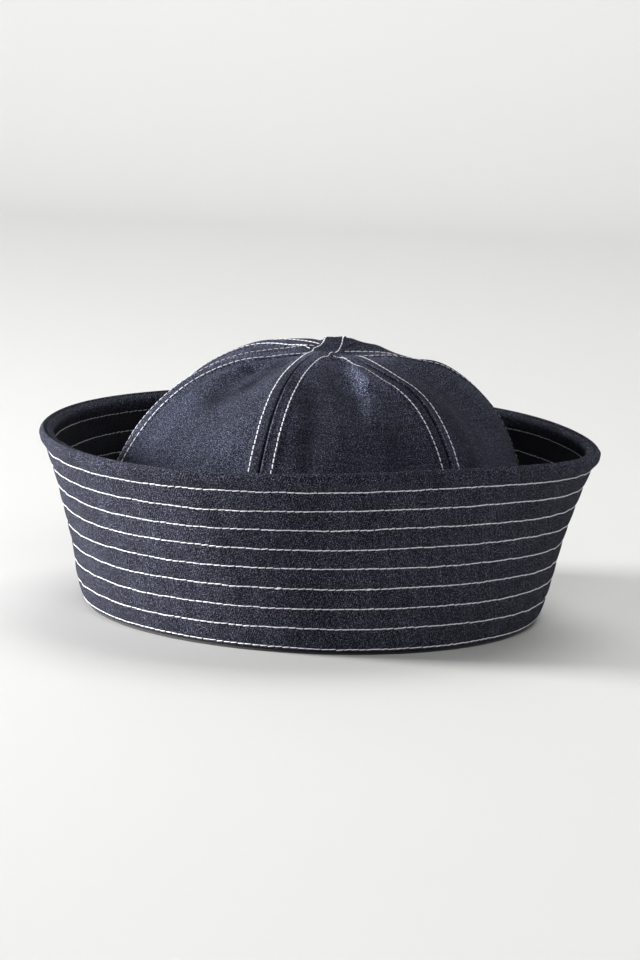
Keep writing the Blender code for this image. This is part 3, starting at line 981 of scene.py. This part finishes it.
def crown_columns(reach, width):
    """Azimuths into a gore for each row: lines at set distances from a seam, then even ones."""
    distance = np.array(SEAM_GRID) * MM
    limit = np.linspace(0.0, SEAM_GRID_SHARE, len(distance)) * width / 2.0
    near = np.minimum(np.degrees(distance / np.maximum(reach[:, None], 1e-6)), limit)
    share = np.linspace(0.0, 1.0, HALF_GORE_COLUMNS + 1)[1:]
    middle = near[:, -1:] + (width / 2.0 - near[:, -1:]) * share
    left = np.hstack([near, middle])
    return np.hstack([left, width - left[:, -2::-1]])


def crown_grid(rows):
    """Azimuth and rise of the crown's grid lines, and the azimuths into each gore by itself."""
    rise = np.linspace(0.0, 1.0, rows + 1)[:-1]
    run, radius, _, _, _ = crown_profile()
    reach = np.interp(rise, run, radius) * FOLD_HALF_WIDTH
    starts = [gore[0] for gore in CROWN_GORES]
    ends = starts[1:] + [starts[0] + 360.0]
    into = [crown_columns(reach, end - start) for start, end in zip(starts, ends)]
    azimuth = np.hstack([start + gore[:, :-1] for start, gore in zip(starts, into)])
    return azimuth, rise, into


def crown_map(rise, into):
    """Weave map of the crown: each gore is laid out from its own middle line and then turned.

    Gives the map places of the quads' corners and of the corners of the triangles at the top.
    """
    along = rise[:, None] * crown_run()
    quads, tips = [], []
    for number, (gore, (start, _, turn)) in enumerate(zip(into, CROWN_GORES)):
        reach = crown_reach(start + gore, np.broadcast_to(rise[:, None], gore.shape))
        across = reach * np.radians(gore - gore[0, -1] / 2.0)
        cos, sin = np.cos(np.radians(turn)), np.sin(np.radians(turn))
        turned = across * cos - along * sin + GORE_MAP_STEP * number, across * sin + along * cos
        place = np.stack(turned, axis=-1)
        last = place[-1]
        tip = np.broadcast_to(last[len(last) // 2], last[1:].shape)
        quads.append(map_corners(place))
        tips.append(np.stack([last[:-1], last[1:], tip], axis=1))
    return np.hstack(quads).reshape(-1, 4, 2), np.concatenate(tips)


def add_dome(name, rows, cloth, depth, material):
    """Add one face of the crown: rows of quads up to a ring of triangles round its top."""
    azimuth, rise, into = crown_grid(rows)
    rises = np.broadcast_to(rise[:, None], azimuth.shape)
    points = crown_points(azimuth, rises, cloth, depth)
    columns = azimuth.shape[1]
    top = crown_points(np.zeros(1), np.ones(1), cloth, depth)
    placed = np.vstack([points.reshape(-1, 3), top]) - plan_middle()
    quads = grid_corners(len(rise), columns)
    last = (len(rise) - 1) * columns
    column = np.arange(columns)
    tips = np.stack([last + column, last + (column + 1) % columns,
                     np.full(columns, len(placed) - 1)], axis=1)
    quad_map, tip_map = crown_map(rise, into)
    if depth > 0.0:
        quads, tips = quads[:, ::-1], tips[:, ::-1]
        quad_map, tip_map = quad_map[:, ::-1], tip_map[:, ::-1]
    piece = add_faces(name, placed, [quads, tips], [quad_map, tip_map], material)
    if cloth is not None:
        # Painted light and shade of the crown, in a layer that its material reads
        painted_light_and_shade = crown_painted_light(azimuth, rises)
        layer = piece.data.attributes.new(PAINTED_LIGHT_LAYER, "FLOAT", "POINT")
        layer.data.foreach_set("value", np.append(painted_light_and_shade, 0.0).astype(np.float32))
    return piece


def stitch_shape():
    """One stitch as a unit shape: rings of points (along, across, up), ends dipping down."""
    along, thickness, sink = np.array(STITCH_SHAPE).T[..., None]
    angle = (np.arange(STITCH_SIDES) + 0.5) * 2.0 * np.pi / STITCH_SIDES
    across = thickness * np.cos(angle)
    up = thickness * np.sin(angle) * STITCH_FLATNESS + sink
    return np.stack([np.broadcast_to(along, across.shape), across, up], axis=-1)


def stitches_along(points, normals, pitch, fill, width, seed, closed):
    """Stitches of even length along a line: their points and half lengths.

    The line is shared out by its own length. Each stitch lies along the chord between its two
    ends, turned a little about the normal, with a chance difference in length and place.
    """
    random = np.random.default_rng(seed)
    if closed:
        points = np.vstack([points, points[:1]])
        normals = np.vstack([normals, normals[:1]])
    run = np.append(0.0, np.cumsum(np.linalg.norm(np.diff(points, axis=0), axis=1)))
    count = max(int(round(run[-1] / pitch)), 1)
    pitch = run[-1] / count
    middle = (np.arange(count) + 0.5) * pitch + random.normal(0.0, STITCH_SPREAD, count) * pitch
    half = pitch * fill / 2.0 * (1.0 + random.normal(0.0, STITCH_SPREAD, count))

    def read(at, values):
        at = np.clip(at, 0.0, run[-1])
        return np.stack([np.interp(at, run, values[:, axis]) for axis in range(3)], axis=-1)

    chord = unit(read(middle + half, points) - read(middle - half, points))
    up = read(middle, normals)
    up = unit(up - chord * np.sum(up * chord, axis=1, keepdims=True))
    side = np.cross(up, chord)
    turn = np.radians(random.normal(*STITCH_TURN, count))[:, None]
    along = chord * np.cos(turn) + side * np.sin(turn)
    across = np.cross(up, along)
    centre = read(middle, points) + side * random.normal(0.0, STITCH_WANDER, count)[:, None]
    size = width / 2.0 * (1.0 + random.normal(0.0, STITCH_WIDTH_SPREAD, count))[:, None, None]
    ahead, beside, above = np.moveaxis(stitch_shape().reshape(-1, 3, 1), 1, 0)
    placed = centre[:, None] + along[:, None] * (ahead * half[:, None, None])
    placed = placed + across[:, None] * (beside * size)
    placed = placed + up[:, None] * (above * size + STITCH_LIFT)
    return placed, half


def stitch_faces(count):
    """Corners of the faces of a number of stitches: quads round their sides and two caps each."""
    rings = len(STITCH_SHAPE)
    quads = grid_corners(rings, STITCH_SIDES)[:, [0, 3, 2, 1]]
    first = np.arange(STITCH_SIDES)
    caps = np.array([first, (rings - 1) * STITCH_SIDES + first[::-1]])
    start = (np.arange(count) * rings * STITCH_SIDES)[:, None, None]
    return (start + quads).reshape(-1, 4), (start + caps).reshape(-1, STITCH_SIDES)


def add_stitches(name, groups, material):
    """Add one object that holds many stitches; the map runs round and along each thread."""
    placed = np.concatenate([group[0] for group in groups])
    half = np.concatenate([group[1] for group in groups])[:, None, None]
    quads, caps = stitch_faces(len(placed))
    along = np.array(STITCH_SHAPE)[:, 0]
    ring = np.repeat(np.arange(len(along) - 1), STITCH_SIDES)
    side = np.tile(np.arange(STITCH_SIDES), len(along) - 1)
    round_thread = np.stack([side, side, side + 1, side + 1], axis=-1)
    across = round_thread / STITCH_SIDES * THREAD_ROUND
    along = np.stack([along[ring], along[ring + 1], along[ring + 1], along[ring]], axis=-1)
    along = along * half + np.arange(len(half))[:, None, None] * STITCH_MAP_STEP
    quad_map = np.stack(np.broadcast_arrays(across, along), axis=-1).reshape(-1, 4, 2)
    cap_map = np.zeros((len(caps), STITCH_SIDES, 2))
    points = placed.reshape(-1, 3) - plan_middle()
    return add_faces(name, points, [quads, caps], [quad_map, cap_map], material)


def brim_row_line(number, cloth, depth, seed, side):
    """Line of a row of stitches on one face of the brim, in the bottom of its valley.

    The face looks outwards on side -1 and inwards on side 1.
    """
    azimuth = round_the_cap(ROW_SAMPLES)
    length = row_length(number, azimuth)[None]
    relief = brim_relief(azimuth, length, cloth, seed)
    points, normals = brim_points(azimuth, length, depth + side * relief)
    return points[0], -side * normals[0]


def knot_stitches(cloth, width):
    """Short stitches heaped up where the stitching of one row starts and ends."""
    points, normals = brim_row_line(KNOT_ROW, cloth, 0.0, OUTER_SEED, -1.0)
    azimuth = round_the_cap(ROW_SAMPLES)
    groups = []
    for knot, middle in enumerate(KNOT_AZIMUTHS):
        for layer, rise in enumerate(KNOT_LAYERS):
            near = np.abs(azimuth - middle - KNOT_LAYER_TURN * layer) < KNOT_HALF_LENGTH
            raised = points[near] + normals[near] * KNOT_RAISE + np.array([0.0, 0.0, rise])
            groups.append(stitches_along(raised, normals[near], KNOT_STITCH, KNOT_FILL, width,
                                         KNOT_SEED + knot + layer, False))
    return groups


def seam_row_line(seam, side):
    """Line of one of a crown seam's two rows of stitches, from the foot up.

    It ends at the band over the top, or, on that band's own seams, beside the top.
    """
    rise = np.linspace(SEAM_ROW_START, 1.0, SEAM_ROW_SAMPLES)
    reach = crown_reach(np.array([seam]), rise)
    offset = np.degrees(np.arcsin(np.minimum(SEAM_ROW_OFFSET / np.maximum(reach, 1e-9), 1.0)))
    azimuth = seam + side * offset
    # Nearer the top than its own offset from the seam, a row has no place
    keep = reach > SEAM_ROW_OFFSET * 1.001
    if seam not in TOP_SEAMS:
        over = np.abs(top_band_distance(azimuth, reach))
        keep = keep & (over > SEAM_BAND + SEAM_ROW_END_GAP)
    return azimuth[keep], rise[keep]


def over_top_line(side):
    """Line of a row that runs up one seam, straight over the top and down the seam opposite."""
    up_azimuth, up_rise = seam_row_line(TOP_SEAMS[0], side)
    down_azimuth, down_rise = seam_row_line(TOP_SEAMS[1], -side)
    azimuth = np.concatenate([up_azimuth, down_azimuth[::-1]])
    return azimuth, np.concatenate([up_rise, down_rise[::-1]])


class NodeBench:
    """Short calls for building a material's node tree."""

    def __init__(self, name):
        old = bpy.data.materials.get(name)
        if old is not None:
            bpy.data.materials.remove(old)
        self.material = bpy.data.materials.new(name)
        self.material.use_nodes = True
        self.tree = self.material.node_tree
        self.shader = self.tree.nodes["Principled BSDF"]

    def add(self, kind, settings=(), inputs=()):
        """Add a node, with its settings and with values or sockets on its inputs."""
        node = self.tree.nodes.new(kind)
        for key, value in dict(settings).items():
            setattr(node, key, value)
        for key, value in dict(inputs).items():
            self.feed(node.inputs[key], value)
        return node

    def feed(self, socket, value):
        """Put a value or another node's output on an input."""
        if isinstance(value, bpy.types.NodeSocket):
            self.tree.links.new(value, socket)
        else:
            socket.default_value = value

    def math(self, operation, one, two=0.0, clamp=False):
        """One Math node."""
        settings = {"operation": operation, "use_clamp": clamp}
        return self.add("ShaderNodeMath", settings, {0: one, 1: two}).outputs[0]

    def mix(self, share, one, two):
        """Blend two colours."""
        node = self.add("ShaderNodeMix", {"data_type": "RGBA"}, {0: share, 6: one, 7: two})
        return node.outputs[2]

    def noise(self, vector, scale, detail=2.0, roughness=0.5):
        """Noise value of a given number of lumps per metre."""
        inputs = {"Vector": vector, "Scale": scale, "Detail": detail, "Roughness": roughness}
        return self.add("ShaderNodeTexNoise", {}, inputs).outputs["Fac"]

    def chance(self, dimensions, key, value):
        """A chance value for each whole number or pair of whole numbers."""
        settings = {"noise_dimensions": dimensions}
        return self.add("ShaderNodeTexWhiteNoise", settings, {key: value}).outputs["Value"]

    def grade(self, value, low, high, to_low, to_high):
        """Carry a value from one range to another."""
        inputs = {0: value, 1: low, 2: high, 3: to_low, 4: to_high}
        return self.add("ShaderNodeMapRange", {}, inputs).outputs[0]

    def parts(self, vector):
        """The parts of a vector along its axes."""
        return self.add("ShaderNodeSeparateXYZ", {}, {0: vector}).outputs

    def weave_map(self):
        """Place on the weave map."""
        return self.add("ShaderNodeUVMap", {"uv_map": WEAVE_MAP}).outputs[0]

    def place(self):
        """Place in the piece's own coordinates."""
        return self.add("ShaderNodeTexCoord").outputs["Object"]

    def finish(self, height, strength, distance, inputs):
        """Put values and sockets on the shader, and a relief of a height, strength and depth."""
        relief = {"Height": height, "Strength": strength, "Distance": distance}
        self.feed(self.shader.inputs["Normal"], self.add("ShaderNodeBump", {}, relief).outputs[0])
        for key, value in inputs.items():
            self.feed(self.shader.inputs[key], value)
        return self.material


def colour(values, share=1.0):
    """Colour with full alpha, all of it multiplied by a share."""
    return tuple(value * share for value in values) + (1.0,)


def crooked_places(bench, weave_map, turn):
    """Weave map turned by an angle in degrees, on which the yarns stray a little from straight."""
    stray = bench.add("ShaderNodeTexNoise", {}, {"Vector": weave_map, "Scale": CROOKED_SCALE})
    shift = (CROOKED_SHIFT, CROOKED_SHIFT, 0.0)
    crooked = bench.add("ShaderNodeVectorMath", {"operation": "MULTIPLY_ADD"},
                        {0: stray.outputs["Color"], 1: shift, 2: weave_map})
    rotation = (0.0, 0.0, np.radians(turn))
    inputs = {"Vector": crooked.outputs[0], "Rotation": rotation, "Location": (0.5, 0.5, 0.0)}
    return bench.add("ShaderNodeMapping", {}, inputs).outputs[0]


def twill(bench, cloth, place):
    """Two-to-one twill: yarns are counted on the map, by its metres divided by their pitch.

    Where the number of the warp yarn less that of the weft yarn is a multiple of three, the weft
    lies on top, which gives steep twill lines. Gives where it does, a chance value for each
    crossing and for each warp yarn, and the height of the yarns' round backs.
    """
    numbers = []
    backs = []
    for along, pitch in zip(bench.parts(place), (cloth.warp_pitch, cloth.weft_pitch)):
        at = bench.math("DIVIDE", along, pitch)
        numbers.append(bench.math("FLOOR", at))
        backs.append(bench.math("SINE", bench.math("MULTIPLY", bench.math("FRACT", at), np.pi)))
    apart = bench.math("SUBTRACT", numbers[0], numbers[1])
    fleck = bench.math("LESS_THAN", bench.math("FLOORED_MODULO", apart, 3.0), 0.5)
    crossing = bench.add("ShaderNodeCombineXYZ", {}, {0: numbers[0], 1: numbers[1]}).outputs[0]
    chance = bench.chance("2D", "Vector", crossing)
    yarn = bench.chance("1D", "W", numbers[0])
    return fleck, chance, yarn, bench.mix(fleck, backs[0], backs[1])


def weft_share(bench, fleck, chance, yarn, grain, lumps):
    """Share of the weft's colour: its flecks, slack warp yarns and grains of fuzz.

    A few flecks by chance are far brighter than most, and lumps of noise make them all come out
    strongly in some places and hardly in others.
    """
    bright = bench.grade(bench.math("POWER", chance, 1.5), 0.0, 1.0, *FLECK_SHARES)
    slack = bench.math("MULTIPLY", bench.math("POWER", yarn, 2.0), SLACK_SHARE)
    woven = bench.add("ShaderNodeMix", {"data_type": "FLOAT"}, {0: fleck, 2: slack, 3: bright})
    fuzz = bench.math("POWER", bench.grade(grain, 0.50, 0.76, 0.0, 1.0), 1.5)
    fuzz = bench.math("MULTIPLY", fuzz, GRAIN_SHARE)
    share = bench.math("ADD", woven.outputs[0], fuzz)
    return bench.math("MULTIPLY", share, lumps, clamp=True)


def denim_material(name, cloth, denim, painted_shade=False, painted_light_and_shade=False):
    """Denim: a twill of indigo warp with pale weft flecks, worn a little unevenly.

    The denim is the turn of its weave and a tint that multiplies the yarns' colours. A cloth with
    painted shade darkens past a length along its map, as painted shade below the brim's rim. On a
    cloth with painted light and shade, its layer makes the cloth paler where light is painted and
    deeper where shade is painted, as it says for each place.
    """
    turn, tint = denim
    warp = [value * share for value, share in zip(cloth.warp, tint)]
    weft = [value * share for value, share in zip(cloth.weft, tint)]
    bench = NodeBench(name)
    weave_map = bench.weave_map()
    place = bench.place()
    at = crooked_places(bench, weave_map, turn)
    fleck, chance, yarn, backs = twill(bench, cloth, at)
    lumps = bench.grade(bench.noise(at, LUMP_SCALE, 2.0, 0.7), 0.32, 0.70, 0.35, 1.45)
    grain = bench.noise(at, GRAIN_SCALE, 1.0, 0.6)
    share = weft_share(bench, fleck, chance, yarn, grain, lumps)
    warp_tones = [colour(warp, tone) for tone in WARP_TONES]
    base = bench.mix(share, bench.mix(yarn, *warp_tones), colour(weft))
    mottle = bench.grade(bench.noise(place, MOTTLE_SCALE, 4.0), 0.3, 0.7, 0.85, 1.15)
    rubbed = bench.grade(bench.noise(place, WORN_SCALE, 3.0), 0.35, 0.75, -0.12, 0.16)
    tone_and_painted_light = bench.math("ADD", mottle, rubbed)
    tones = [bench.grade(grain, 0.32, 0.58, 0.40, 1.20)]
    # Painted shade: the facing darkens past a length along its map, below the rim
    if painted_shade:
        along = bench.parts(weave_map)[1]
        tones.append(bench.grade(along, SHADE_START, SHADE_START + SHADE_LENGTH, 1.0, SHADE_DEPTH))
    # Painted light and shade: paler where the layer paints light, deeper where it paints shade
    if painted_light_and_shade:
        wear = bench.add("ShaderNodeAttribute", {"attribute_name": PAINTED_LIGHT_LAYER}).outputs["Fac"]
        tones.append(bench.grade(wear, DEEPEST_TONE, 0.0, DEEPEST_SHARE, 1.0))
        tones.append(bench.grade(wear, 0.0, 1.0, 1.0, PALEST_SHARE))
    # The cloth's own fading, times its grain, times any painted shade and painted light
    for tone in tones:
        tone_and_painted_light = bench.math("MULTIPLY", tone_and_painted_light, tone)
    base = bench.add("ShaderNodeVectorMath", {"operation": "SCALE"}, {0: base, "Scale": tone_and_painted_light})
    height = bench.math("ADD", backs, bench.math("MULTIPLY", lumps, 0.9))
    return bench.finish(height, 0.9, 0.30 * MM, {
        "Base Color": base.outputs[0],
        "Roughness": bench.grade(chance, 0.0, 1.0, 0.70, 0.9),
        "Specular IOR Level": 0.04,
        "Sheen Weight": 0.04,
        "Sheen Roughness": 0.4,
        "Sheen Tint": (0.62, 0.64, 0.80, 1.0),
    })


def thread_material(name, thread):
    """Sewing thread: plies of the given colour that twist round it, with a soft sheen."""
    bench = NodeBench(name)
    parts = bench.parts(bench.weave_map())
    around = bench.math("MULTIPLY", parts[0], THREAD_PLIES / THREAD_ROUND)
    along = bench.math("MULTIPLY", parts[1], 1.0 / TWIST_LENGTH)
    turns = bench.math("ADD", around, along)
    twist = bench.math("SINE", bench.math("MULTIPLY", turns, 2.0 * np.pi))
    place = bench.place()
    fuzz = bench.noise(place, FUZZ_SCALE)
    tone = bench.grade(bench.noise(place, THREAD_TONE_SCALE), 0.25, 0.7, 0.8, 1.0)
    # Painted shade: the thread is darkened between two plies
    ply = bench.math("MULTIPLY", bench.grade(twist, -1.0, 0.4, 0.0, 1.0), tone, clamp=True)
    height = bench.math("ADD", twist, bench.math("MULTIPLY", fuzz, 0.8))
    return bench.finish(height, 0.6, 0.1 * MM, {
        "Base Color": bench.mix(ply, colour(thread, PLY_SHADE), colour(thread)),
        "Roughness": bench.grade(fuzz, 0.2, 0.8, 0.5, 0.8),
        "Sheen Weight": 0.2,
    })


def tape_material(name, tape):
    """Cotton tape: a fine herringbone rib, nearly black, with faint brown in its lit yarns."""
    bench = NodeBench(name)
    weave_map = bench.weave_map()
    parts = bench.parts(weave_map)
    lean = bench.math("ADD", parts[0], bench.math("PINGPONG", parts[1], TAPE_ZIGZAG))
    rib = bench.math("SINE", bench.math("MULTIPLY", lean, 2.0 * np.pi / TAPE_RIB))
    lumps = bench.noise(weave_map, TAPE_SCALE, 3.0)
    share = bench.grade(bench.math("ADD", rib, lumps), -0.6, 1.6, 0.0, 1.0)
    return bench.finish(rib, 0.5, 0.15 * MM, {
        "Base Color": bench.mix(share, colour(tape), colour(tape, TAPE_LIGHT)),
        "Roughness": bench.grade(lumps, 0.2, 0.8, 0.7, 0.95),
        "Sheen Weight": 0.15,
    })


def floor_material(name):
    """Pale painted board with a very faint unevenness of tone."""
    bench = NodeBench(name)
    place = bench.place()
    tones = [colour(tone) for tone in FLOOR_TONES]
    return bench.finish(bench.noise(place, FLOOR_GRAIN_SCALE), 0.05, 0.2 * MM, {
        "Base Color": bench.mix(bench.noise(place, FLOOR_TONE_SCALE, 3.0), *tones),
        "Roughness": 0.7,
    })


def place_piece(piece, nodes):
    """Tell the frame what a piece rides on, and hide the CAD parts that it stands for."""
    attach(piece, "root")
    if nodes:
        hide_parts(*nodes)


class CAP_OT_outer_brim(bpy.types.Operator):
    """Build the brim's outer cloth, from under the cap up its wall and over the rim"""

    bl_idname = "sailor_cap.outer_brim"
    bl_label = "Outer brim"

    def execute(self, context):
        cloth = context.scene.cap_cloth
        points = brim_layer(cloth.brim_columns, outer_brim_section(), cloth, OUTER_SEED, -1.0)
        material = denim_material("denim_brim", cloth, BRIM_DENIM)
        piece = add_ring("brim_cloth", points, material)
        place_piece(piece, ["brim_outer"])
        return {"FINISHED"}


class CAP_OT_facing(bpy.types.Operator):
    """Build the brim's inner cloth, which faces the crown and meets the outer cloth at the rim"""

    bl_idname = "sailor_cap.facing"
    bl_label = "Brim facing"

    def execute(self, context):
        cloth = context.scene.cap_cloth
        # The facing is seen less, so it has six columns for the outer cloth's seven
        columns = cloth.brim_columns * 6 // 7
        points = brim_layer(columns, facing_section(), cloth, FACING_SEED, 1.0)
        # The facing's cloth has painted shade below the rim
        material = denim_material("denim_facing", cloth, FACING_DENIM, painted_shade=True)
        piece = add_ring("brim_facing_cloth", points, material)
        place_piece(piece, ["brim_facing"])
        return {"FINISHED"}


class CAP_OT_crown(bpy.types.Operator):
    """Build the crown's outer face, with its seams, and its plain inner face"""

    bl_idname = "sailor_cap.crown"
    bl_label = "Crown"

    def execute(self, context):
        cloth = context.scene.cap_cloth
        gores = ["crown_gore_%d" % (number + 1) for number in range(len(CROWN_GORES))]
        # The crown's outer cloth has painted light and shade
        outer = denim_material("denim_crown", cloth, CROWN_DENIM, painted_light_and_shade=True)
        outside = add_dome("crown_cloth", cloth.crown_rows, cloth, 0.0, outer)
        place_piece(outside, gores)
        inner = denim_material("denim_reverse", cloth, REVERSE_DENIM)
        inside = add_dome("crown_inside", cloth.crown_rows // 2, None, CLOTH, inner)
        place_piece(inside, gores)
        return {"FINISHED"}


class CAP_OT_sweatband(bpy.types.Operator):
    """Build the tape ring inside the head opening"""

    bl_idname = "sailor_cap.sweatband"
    bl_label = "Sweatband"

    def execute(self, context):
        cloth = context.scene.cap_cloth
        section = rounded_section(sweatband_section(), SWEATBAND_ROUNDING, SWEATBAND_ROUND_STEPS)
        azimuth = round_the_cap(SWEATBAND_COLUMNS)
        reach = fold_radius(azimuth)[None] - section[:, :1]
        points = direction(azimuth)[None] * reach[..., None]
        points[..., 2] = section[:, 1:]
        piece = add_ring("sweatband_tape", points, tape_material("tape", cloth.tape))
        place_piece(piece, ["sweatband"])
        return {"FINISHED"}


class CAP_OT_brim_stitches(bpy.types.Operator):
    """Sew the rows of stitches round both faces of the brim, and the knots of one row"""

    bl_idname = "sailor_cap.brim_stitches"
    bl_label = "Brim stitches"

    def execute(self, context):
        cloth, sewing = context.scene.cap_cloth, context.scene.cap_sewing
        width = sewing.brim_thread
        groups = []
        for number in range(BRIM_ROWS):
            line = brim_row_line(number, cloth, 0.0, OUTER_SEED, -1.0)
            groups.append(stitches_along(*line, sewing.brim_stitch, BRIM_FILL, width,
                                         BRIM_STITCH_SEED + number, True))
        groups += knot_stitches(cloth, width)
        outer = add_stitches("brim_stitches", groups, thread_material("thread", cloth.thread))
        place_piece(outer, [])
        groups = []
        for number in range(1, BRIM_ROWS):
            depth = facing_depth(np.array([number * ROW_SPACING]))[0]
            line = brim_row_line(number, cloth, depth, FACING_SEED, 1.0)
            groups.append(stitches_along(*line, sewing.brim_stitch, FACING_FILL,
                                         width * FACING_THREAD, FACING_STITCH_SEED + number, True))
        # The facing's thread is darkened as painted shade inside the brim
        painted_shade = [value * FACING_THREAD_PAINTED_SHADE for value in cloth.thread]
        inner = add_stitches("facing_stitches", groups, thread_material("thread_inside", painted_shade))
        place_piece(inner, [])
        return {"FINISHED"}


class CAP_OT_crown_stitches(bpy.types.Operator):
    """Sew two rows of stitches along each seam of the crown"""

    bl_idname = "sailor_cap.crown_stitches"
    bl_label = "Crown stitches"

    def execute(self, context):
        cloth, sewing = context.scene.cap_cloth, context.scene.cap_sewing
        lines = [over_top_line(side) for side in (-1.0, 1.0)]
        for seam, _, _ in CROWN_GORES:
            if seam not in TOP_SEAMS:
                lines += [seam_row_line(seam, side) for side in (-1.0, 1.0)]
        groups = []
        for number, line in enumerate(lines):
            points, normals = crown_points(*line, cloth), crown_normals(*line)
            groups.append(stitches_along(points, normals, sewing.seam_stitch, SEAM_FILL,
                                         sewing.seam_thread, SEAM_STITCH_SEED + number, False))
        piece = add_stitches("crown_stitches", groups, thread_material("seam_thread", cloth.thread))
        place_piece(piece, [])
        return {"FINISHED"}


def world_matrix(side, above, back, place):
    """World matrix of an object whose own axes point to the side, above and back."""
    matrix = np.identity(4)
    matrix[:3] = np.stack([side, above, back, place], axis=1)
    return Matrix(matrix.tolist())


def aim_camera(camera, stage):
    """Set the camera at the photograph's angle: back and up from the cap, then rolled."""
    middle = np.array([0.0, 0.0, AIM_HEIGHT]) - plan_middle()
    lift = np.radians(stage.elevation)
    forward = np.array([0.0, np.cos(lift), -np.sin(lift)])
    right = np.array([1.0, 0.0, 0.0])
    up = np.cross(right, forward)
    roll = np.radians(stage.roll)
    rolled_right = right * np.cos(roll) + up * np.sin(roll)
    rolled_up = -right * np.sin(roll) + up * np.cos(roll)
    shift_right, shift_up = np.array(PHOTO_SHIFT) / FOCAL_LENGTH
    axis = unit(forward + rolled_right * shift_right + rolled_up * shift_up)
    side = unit(np.cross(axis, rolled_up))
    place = middle - forward * stage.distance
    camera.matrix_world = world_matrix(side, np.cross(side, axis), -axis, place)


def add_light(name, place, target, size, power):
    """Add a square area light at a place that looks at a target."""
    clear_piece(name)
    data = bpy.data.lights.new(name, "AREA")
    data.shape = "SQUARE"
    data.size = size
    data.energy = power
    light = bpy.data.objects.new(name, data)
    back = unit(np.array(place) - np.array(target))
    side = unit(np.cross([0.0, 0.0, 1.0], back))
    light.matrix_world = world_matrix(side, np.cross(back, side), back, place)
    bpy.context.scene.collection.objects.link(light)


def floor_points():
    """Floor that curves up into a back wall: a straight, a quarter circle and a straight."""
    angle = np.radians(np.linspace(0.0, 90.0, FLOOR_STEPS))
    bend_depth = FLOOR_BACK + FLOOR_BEND * np.sin(angle)
    bend_height = FLOOR_BEND * (1.0 - np.cos(angle))
    depth = np.concatenate([[FLOOR_FRONT], bend_depth, [FLOOR_BACK + FLOOR_BEND]])
    height = np.concatenate([[0.0], bend_height, [WALL_TOP]])
    across = np.linspace(-FLOOR_HALF_WIDTH, FLOOR_HALF_WIDTH, FLOOR_COLUMNS)
    grid = np.zeros((len(depth), len(across), 3))
    grid[..., 0] = across
    grid[..., 1] = depth[:, None]
    grid[..., 2] = height[:, None]
    return grid


class CAP_OT_stage(bpy.types.Operator):
    """Set up the pale floor, the soft lights and the camera"""

    bl_idname = "sailor_cap.stage"
    bl_label = "Stage"

    def execute(self, context):
        stage = context.scene.cap_stage
        grid = floor_points()
        quads = grid_corners(*grid.shape[:2], closed_columns=False)
        floor = add_faces("floor", grid.reshape(-1, 3), [quads], [np.zeros((len(quads), 4, 2))],
                          floor_material("floor"))
        for name, place, target, size in LIGHTS:
            add_light(name, place, target, size, getattr(stage, name + "_power"))
        world = context.scene.world or bpy.data.worlds.new("room")
        context.scene.world = world
        world.use_nodes = True
        sky = world.node_tree.nodes["Background"]
        sky.inputs["Color"].default_value = colour(ROOM_COLOUR)
        sky.inputs["Strength"].default_value = stage.room
        clear_piece("camera")
        data = bpy.data.cameras.new("camera")
        data.sensor_width = SENSOR
        data.lens = FOCAL_LENGTH * SENSOR / PHOTO_HEIGHT
        data.clip_start, data.clip_end = CAMERA_REACH
        camera = bpy.data.objects.new("camera", data)
        context.scene.collection.objects.link(camera)
        aim_camera(camera, stage)
        context.scene.camera = camera
        context.scene.view_settings.view_transform = "Standard"
        return {"FINISHED"}


STEPS = (
    CAP_OT_outer_brim,
    CAP_OT_facing,
    CAP_OT_crown,
    CAP_OT_sweatband,
    CAP_OT_brim_stitches,
    CAP_OT_crown_stitches,
    CAP_OT_stage,
)


class CAP_PT_panel(bpy.types.Panel):
    """Settings of the cap and the steps that build it"""

    bl_idname = "CAP_PT_panel"
    bl_label = "Sailor cap"
    bl_space_type = "VIEW_3D"
    bl_region_type = "UI"
    bl_category = "Sailor cap"

    def draw(self, context):
        scene = context.scene
        for settings in (scene.cap_cloth, scene.cap_sewing, scene.cap_stage):
            box = self.layout.box()
            for name in settings.bl_rna.properties.keys():
                if name not in ("rna_type", "name"):
                    box.prop(settings, name)
        for step in STEPS:
            self.layout.operator(step.bl_idname)


CLASSES = (CapClothSettings, CapSewingSettings, CapStageSettings) + STEPS + (CAP_PT_panel,)


def register():
    for item in CLASSES:
        bpy.utils.register_class(item)
    bpy.types.Scene.cap_cloth = PointerProperty(type=CapClothSettings)
    bpy.types.Scene.cap_sewing = PointerProperty(type=CapSewingSettings)
    bpy.types.Scene.cap_stage = PointerProperty(type=CapStageSettings)


def unregister():
    del bpy.types.Scene.cap_stage
    del bpy.types.Scene.cap_sewing
    del bpy.types.Scene.cap_cloth
    for item in reversed(CLASSES):
        bpy.utils.unregister_class(item)


def main():
    register()
    bpy.ops.sailor_cap.outer_brim()
    bpy.ops.sailor_cap.facing()
    bpy.ops.sailor_cap.crown()
    bpy.ops.sailor_cap.sweatband()
    bpy.ops.sailor_cap.brim_stitches()
    bpy.ops.sailor_cap.crown_stitches()
    bpy.ops.sailor_cap.stage()


if __name__ == "__main__":
    main()
